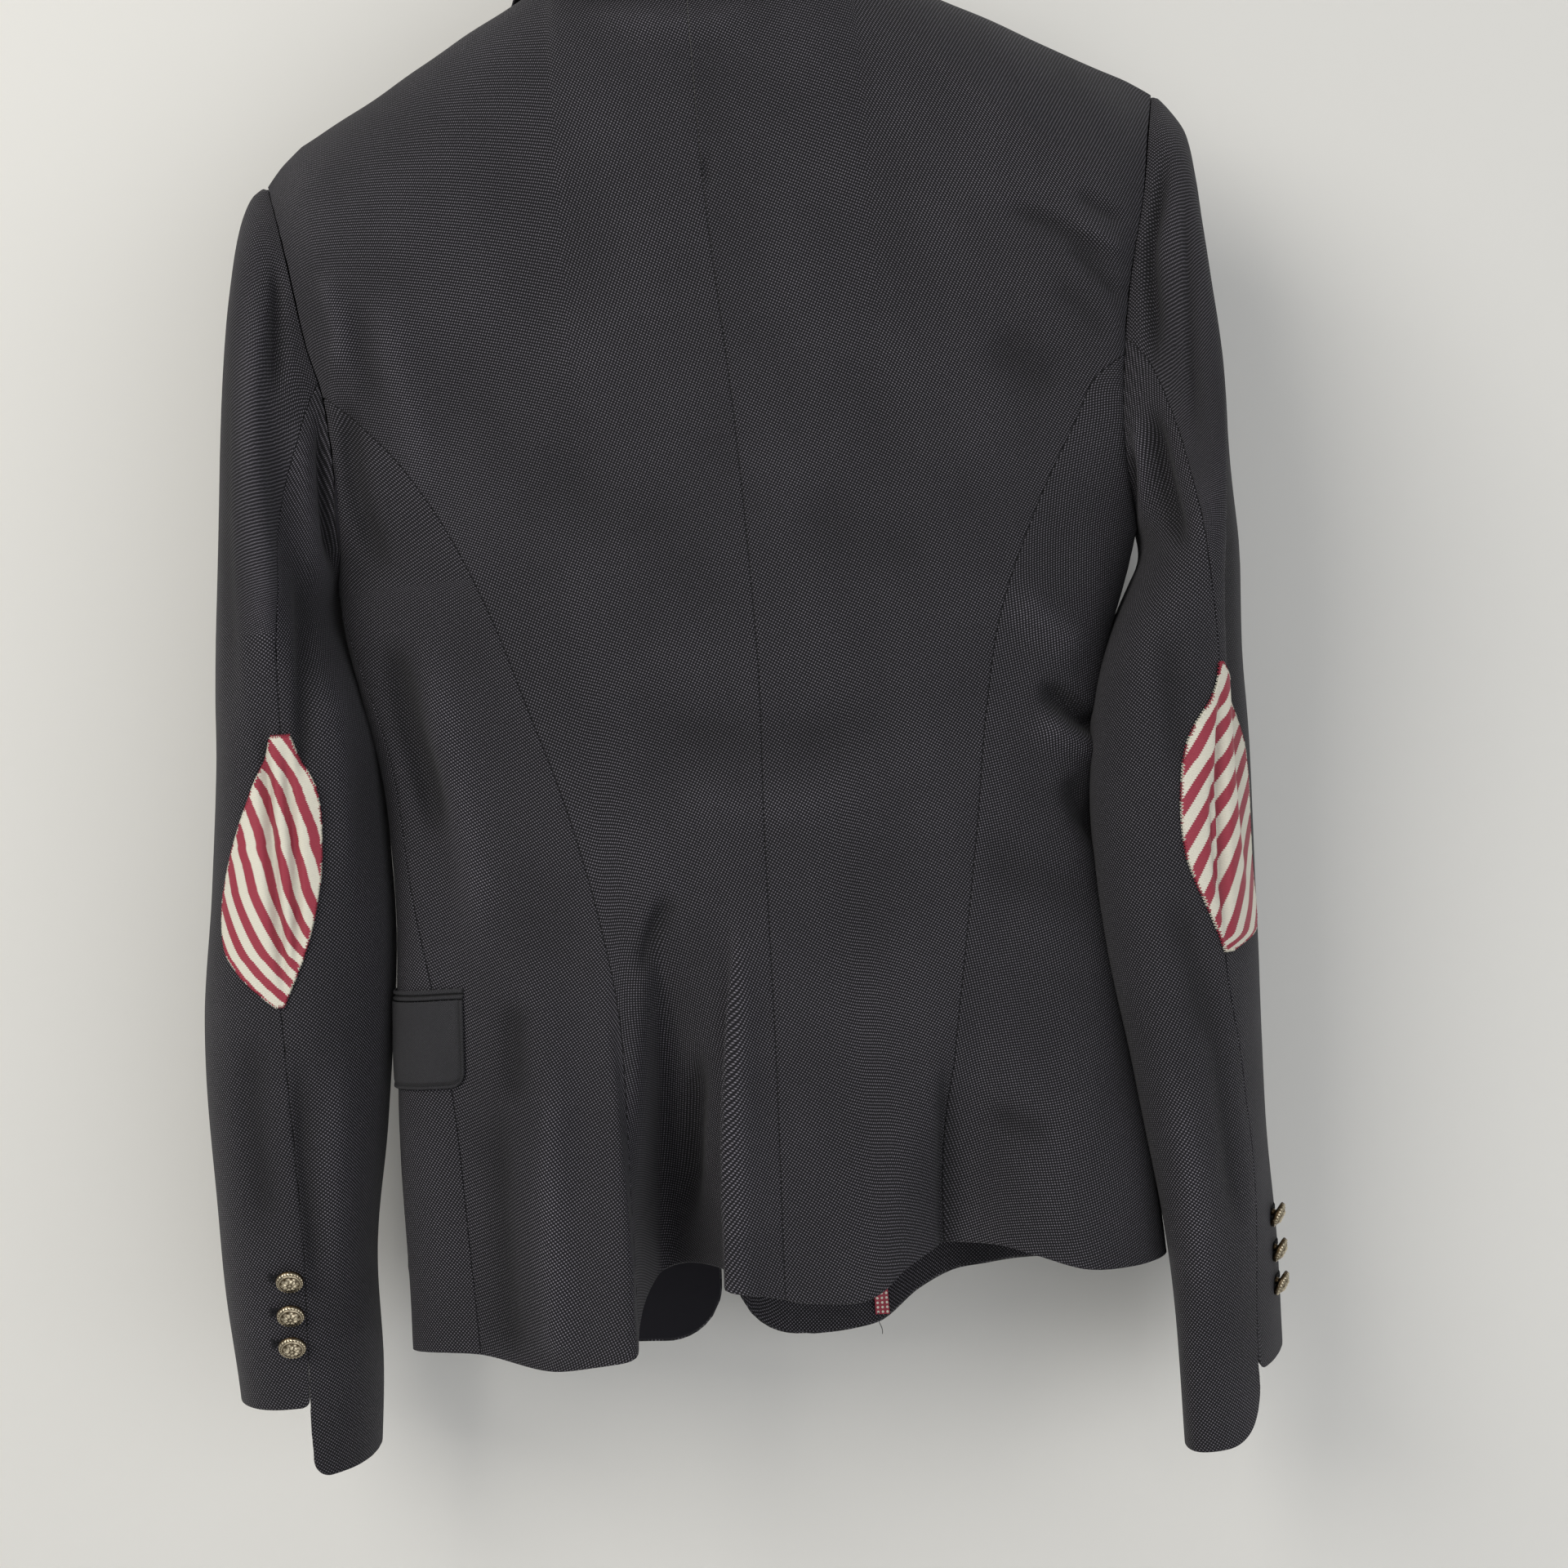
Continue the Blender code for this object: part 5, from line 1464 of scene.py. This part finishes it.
shares = stations(2.0, 150) - 1.0
base, roll, edge = (collar_run(name, shares) for name in ("base", "roll", "edge"))
outward = (edge - base) * (1, 1, 0)
outward /= np.linalg.norm(outward, axis=1)[:, None]
near, far = COLLAR["fold"]
crown = np.array((0, 0, COLLAR["crown"]))
rows = [base + (roll - base) * t for t in (0, 0.5, 0.85)]
rows += [roll + outward * near + crown, roll + outward * far - crown]
for t in (0.3, 0.65, 1):
    swell = far * (1 - t) + COLLAR["belly"] * math.sin(math.pi * t)
    rows.append(roll + outward * swell + (edge - roll) * t)
grid = rounded(np.array(rows), 46)
normals = -np.cross(np.gradient(grid, axis=1), np.gradient(grid, axis=0))
normals /= np.linalg.norm(normals, axis=2)[..., None]
uv = arc_uv(grid)
height = 0.3 * np.sin(grid[..., 0] / 13) * np.sin(grid[..., 2] / 17)
height += 0.7 * edge_roll(uv[..., 1] - uv[-1, 0, 1])
collar = cloth_piece("collar_cloth", grid + height[..., None] * normals, turned(uv, 45), normals, "collar")

# %% [markdown]
# ## Buttons and buttonholes
# The buttons are domed, with a beaded rim and a small rosette, and a hollow shank behind. One
# turned surface makes each button: its relief is a rise and fall of that surface.

# %% Buttons
BUTTON = dict(
    cuff=13.0, front=20.0, turn={LEFT: 0.18, RIGHT: 0.55}, above=0.25, shank=0.34,
    r=(0, 0.2, 0.45, 0.7, 0.84, 0.94, 1.0, 0.985, 0.94, 0.6, 0.3, 0.26, 0.26, 0.02),
    h=(0.56, 0.55, 0.51, 0.40, 0.30, 0.24, 0.13, 0.04, 0.0, -0.05, -0.08, -0.12, -0.34, -0.34),
    turned_rows=56, steps=96, beads=24, petals=8, droop=0.5,
)
CUFF_BUTTONS = {LEFT: (-671, -687, -702), RIGHT: (-686, -703, -719)}
FRONT_BUTTONS = (-442, -520)


def button_surface():
    """Radii, heights and relief of one button, in radii of the button."""
    knots = np.r_[0, np.cumsum(np.hypot(np.diff(BUTTON["r"]), np.diff(BUTTON["h"])))]
    way = np.linspace(0, knots[-1], BUTTON["turned_rows"])
    r = np.interp(way, knots, BUTTON["r"])[:, None]
    h = np.interp(way, knots, BUTTON["h"])[:, None]
    turn = np.linspace(0, 2 * math.pi, BUTTON["steps"] + 1)[None]
    face = way[:, None] < knots[6]
    petal = np.abs(np.cos(BUTTON["petals"] / 2 * turn)) ** 0.6 * np.exp(-(((r - 0.36) / 0.15) ** 4))
    leaf = np.abs(np.sin(BUTTON["petals"] / 2 * turn)) ** 2 * np.exp(-(((r - 0.58) / 0.07) ** 2))
    bead = np.abs(np.cos(BUTTON["beads"] / 2 * turn)) ** 0.8 * np.exp(-(((r - 0.9) / 0.055) ** 4))
    ring = np.exp(-(((r - 0.76) / 0.035) ** 2)) + np.exp(-((r / 0.12) ** 4))
    relief = np.clip(petal + 0.7 * leaf + bead + 0.8 * ring, 0, 1) * face
    return r, h + 0.095 * relief, turn, relief


def frame_on(normal, down=(0, 0, -1)):
    """Right, up and out for something set on cloth."""
    out = np.array(normal) / np.linalg.norm(normal)
    right = np.cross(out, np.array(down, float))
    right /= np.linalg.norm(right)
    return right, np.cross(out, right), out


def button(name, point, normal, diameter, spin, droop=0.0):
    r, h, turn, relief = button_surface()
    right, up, out = frame_on(normal)
    out = out * math.cos(droop) - up * math.sin(droop)
    up = np.cross(out, right)
    size = diameter / 2
    points = np.array(point) + size * (
        (r * np.cos(turn + spin))[..., None] * right + (r * np.sin(turn + spin))[..., None] * up
        + (h + 0 * turn)[..., None] * out
    )
    uv = np.stack([turn * r * size, h * size + 0 * turn], -1)
    normals = grid_normals(points, 1)
    sign = 1 if normals[20, 10] @ out > 0 else -1
    piece = lay_grid(name, points, uv, sign * normals)
    piece.data.materials.append(GILT)
    marks = piece.data.attributes.new("relief", "FLOAT", "POINT")
    spots = np.array([v.co for v in piece.data.vertices]) / MM
    order = np.round(spots, 3)
    known = {tuple(np.round(p, 3)): v for p, v in zip(points.reshape(-1, 3), (relief + 0 * turn).ravel())}
    marks.data.foreach_set("value", [known.get(tuple(o), 0.5) for o in order])
    select_only(piece)
    bpy.ops.object.mode_set(mode="EDIT")
    bpy.ops.mesh.select_all(action="SELECT")
    bpy.ops.mesh.remove_doubles(threshold=0.000004)
    bpy.ops.object.mode_set(mode="OBJECT")
    bpy.ops.object.shade_smooth()
    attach(piece, "root")
    return piece


def keyhole(name, point, normal, along, length, size=1.0):
    """A keyhole buttonhole: close stitches on both sides of a slit, and a bar at its end."""
    out = np.array(normal)
    along = np.array(along) - (np.array(along) @ out) * out
    along /= np.linalg.norm(along)
    across = np.cross(out, along)
    stitches = []
    for i, spot in enumerate(np.arange(0, length, 0.42)):
        for way in (-1, 1):
            near, tip = 0.25, (1.35 + 0.12 * math.sin(i * 1.9)) * size
            stitches.append([point + along * spot + across * way * s + out * h
                             for s, h in ((near, 0.12), (near + 0.4, 0.36), (tip, 0.05))])
    for spot in (-0.5, -0.15, 0.2):
        stitches.append([point + along * (length + spot) + across * s * size + out * h
                         for s, h in ((-1.9, 0.05), (-1.0, 0.45), (1.0, 0.45), (1.9, 0.05))])
    return tube(name, stitches, 0.19, THREAD, "navy_cloth")


for side, word in WORDS.items():
    rise = BUTTON["shank"] * BUTTON["cuff"] / 2 + BUTTON["above"]
    for count, level in enumerate(CUFF_BUTTONS[side], 1):
        angle = np.array([elbow_angle(side, float(level)) - BUTTON["turn"][side]])
        point = sleeve_points(side, angle, float(level))[0]
        normal = sleeve_normals(side, angle, float(level))[0]
        made = button(f"cuff_button_{word}_{count}_gilt", point + rise * normal, normal,
                      BUTTON["cuff"], 0.5 * count, BUTTON["droop"])
        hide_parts(f"cuff_button_{word}_{count}")
        away = sleeve_points(side, angle - 0.1, float(level))[0] - point
        height = drape(point[None], normal[None], f"sleeve_{word}", "front_sleeve")[0]
        spot = point + (height + 0.1) * normal + np.array((0, 0, 1.5))
        keyhole(f"cuff_hole_{word}_{count}", spot, normal, away, 9.5)
for count, level in enumerate(FRONT_BUTTONS, 1):
    point, normal = lay_on_front(0.0, level)
    rise = BUTTON["shank"] * BUTTON["front"] / 2 + 2 * BUTTON["above"]
    made = button(f"front_button_{count}_gilt", point + rise * normal, normal, BUTTON["front"], 0.4)
    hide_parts(f"front_button_{count}")
    height = drape(point[None], normal[None], "back", "front")[0]
    keyhole(f"front_hole_{count}", point + (height + 0.1) * normal, normal, (1, 0, 0), 17.0, 1.2)
print("buttons:", 6 + len(FRONT_BUTTONS))

# %% [markdown]
# ## Tab, hanger and hook
# A small dotted ribbon is sewn behind the right front's lower edge. The hanger is a plain bent
# bar of wood with a wire hook, and carries the jacket at its shoulders and neck.

# %% Ribbon tab
TAB = dict(x=39.0, top=-715.0, wide=7.0, tall=14.0, lift=0.5)
half = TAB["wide"] / 2
ends = np.array([lay_on_front(TAB["x"] + x, TAB["top"] + half)[0] for x in (-half, half)])
across, down = np.linspace(0, 1, 16)[None, :, None], np.linspace(0, 1, 26)[:, None]
points = ends[0] + (ends[1] - ends[0]) * across + np.zeros((26, 1, 3))
points[..., 1] -= CLOTH + TAB["lift"] + 2.0 + 0.35 * np.sin(5 * down) * np.cos(2.2 * across[..., 0])
points[..., 2] = TAB["top"] - TAB["tall"] * down
outward = np.broadcast_to(np.array((0.0, -1.0, 0.0)), points.shape)
uv = arc_uv(points) + (half, 0)
tab = cloth_piece("hem_tab_ribbon", points, uv, outward, "hem_tab", RIBBON, thick=0.6)
foot = points[-1, 3]
bends = ((0, 0, 1), (-0.6, -0.3, -2), (0.4, -0.6, -5), (1.6, -0.2, -7.5), (1.2, 0.2, -10))
loose = [foot + bend for bend in bends]
tube("loose_thread", [loose], 0.17, THREAD, "dotted_ribbon", smooth=True)

# %% Hanger and hook
HANGER = dict(reach=188.0, thick=6.0, below_seam=9.5, centre=-58.0)
HOOK = dict(wire=1.7, radius=17.7, neck=-42.0)
route = []
for share in np.linspace(-1, 1, 61):
    x = share * HANGER["reach"]
    shoulder = SHOULDER[LEFT if x < 0 else RIGHT]
    seam = np.interp(abs(x), shoulder["x"], shoulder["z"])
    rise = np.interp(abs(x), (0, NECK_HALF_WIDTH), (HANGER["centre"] - seam + HANGER["below_seam"], 0))
    route.append((x, 0, seam - HANGER["below_seam"] + rise))
tube("hanger_bar", [route[1:-1]], HANGER["thick"] - 0.1, WOOD, "hanger_wood", sides=9,
     replaced="hanger_body")
tube("hanger_ends", [((r[0], r[1], r[2]), (r[0] * 0.985, r[1], r[2] + 0.6)) for r in (route[0], route[-1])],
     HANGER["thick"] - 1.4, WOOD, "hanger_wood", sides=9)
centre = HOOK["wire"] - HOOK["radius"]
hook = [(0, 0, HANGER["centre"] + HANGER["thick"] - 2), (0, 0, HOOK["neck"])]
for degrees in np.linspace(-60, 200, 60):
    turn = math.radians(degrees)
    hook.append((HOOK["radius"] * math.cos(turn), 0, centre + HOOK["radius"] * math.sin(turn)))
tube("hook_wire", [hook], HOOK["wire"], STEEL, "hook_steel", sides=7, replaced="hanger_hook")
tip = hook[-1]
bpy.ops.mesh.primitive_uv_sphere_add(segments=20, ring_count=12, radius=2.1 * MM, location=Vector(tip) * MM)
ball = bpy.context.object
ball.name = "hook_tip"
bpy.ops.object.transform_apply(location=True, rotation=True, scale=True)
bpy.ops.object.shade_smooth()
ball.data.materials.append(STEEL)
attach(ball, "root")
print("hanger reaches", 2 * HANGER["reach"], "mm across")

# %% [markdown]
# ## Wall, floor and light
# The jacket hangs against a pale painted wall in soft daylight from a window at the upper left.

# %% Wall and floor
def stage_plane(name, size, place, turn, colour):
    nothing_selected()
    bpy.ops.mesh.primitive_plane_add(size=size, location=place, rotation=turn)
    made = bpy.context.object
    made.name = name
    material, tree, sockets = plain_material(name, 0.75)
    clouds = node(tree, "ShaderNodeTexNoise", {"Vector": node(tree, "ShaderNodeTexCoord").outputs["Object"],
                                               "Scale": 2.0, "Detail": 4.0})
    shade = mixed(tree, clouds.outputs["Fac"], colour, tuple(c * 0.965 for c in colour[:3]) + (1,))
    tree.links.new(shade, sockets["Base Color"])
    made.data.materials.append(material)
    return material


WALL_DEPTH = 0.11
WALL = stage_plane("wall", 6, (0, WALL_DEPTH, 0), (math.pi / 2, 0, 0), (0.76, 0.75, 0.712, 1))
stage_plane("floor", 8, (0, 0, -1.6), (0, 0, 0), (0.6, 0.6, 0.6, 1))
tree = WALL.node_tree
clear = tree.nodes.new("ShaderNodeBsdfTransparent")
both = tree.nodes.new("ShaderNodeMixShader")
tree.links.new(tree.nodes.new("ShaderNodeNewGeometry").outputs["Backfacing"], both.inputs[0])
tree.links.new(tree.nodes["Principled BSDF"].outputs[0], both.inputs[1])
tree.links.new(clear.outputs[0], both.inputs[2])
tree.links.new(both.outputs[0], tree.nodes["Material Output"].inputs[0])
print("wall behind the jacket at y =", WALL_DEPTH, "m")


# %% Lights
def soft_light(name, place, size, power, colour):
    nothing_selected()
    bpy.ops.object.light_add(type="AREA", location=place)
    lamp = bpy.context.object
    lamp.name = name
    lamp.data.size = size
    lamp.data.energy = power
    lamp.data.color = colour
    towards = Vector((0, 0, -0.45)) - Vector(place)
    lamp.rotation_euler = towards.to_track_quat("-Z", "Y").to_euler()


soft_light("window", (-1.2, -1.7, 0.5), 1.3, 31, (1.0, 0.97, 0.92))
soft_light("room", (1.2, -2.0, -1.1), 2.6, 33, (0.96, 0.97, 1.0))
soft_light("behind", (0.4, 2.2, 0.6), 2.0, 22, (1.0, 1.0, 1.0))
world = bpy.data.worlds.new("pale room")
bpy.context.scene.world = world
world.use_nodes = True
world.node_tree.nodes["Background"].inputs["Color"].default_value = (0.80, 0.82, 0.85, 1)
world.node_tree.nodes["Background"].inputs["Strength"].default_value = 0.40
bpy.context.scene.view_settings.view_transform = "Standard"
print("three soft lights and a pale room")
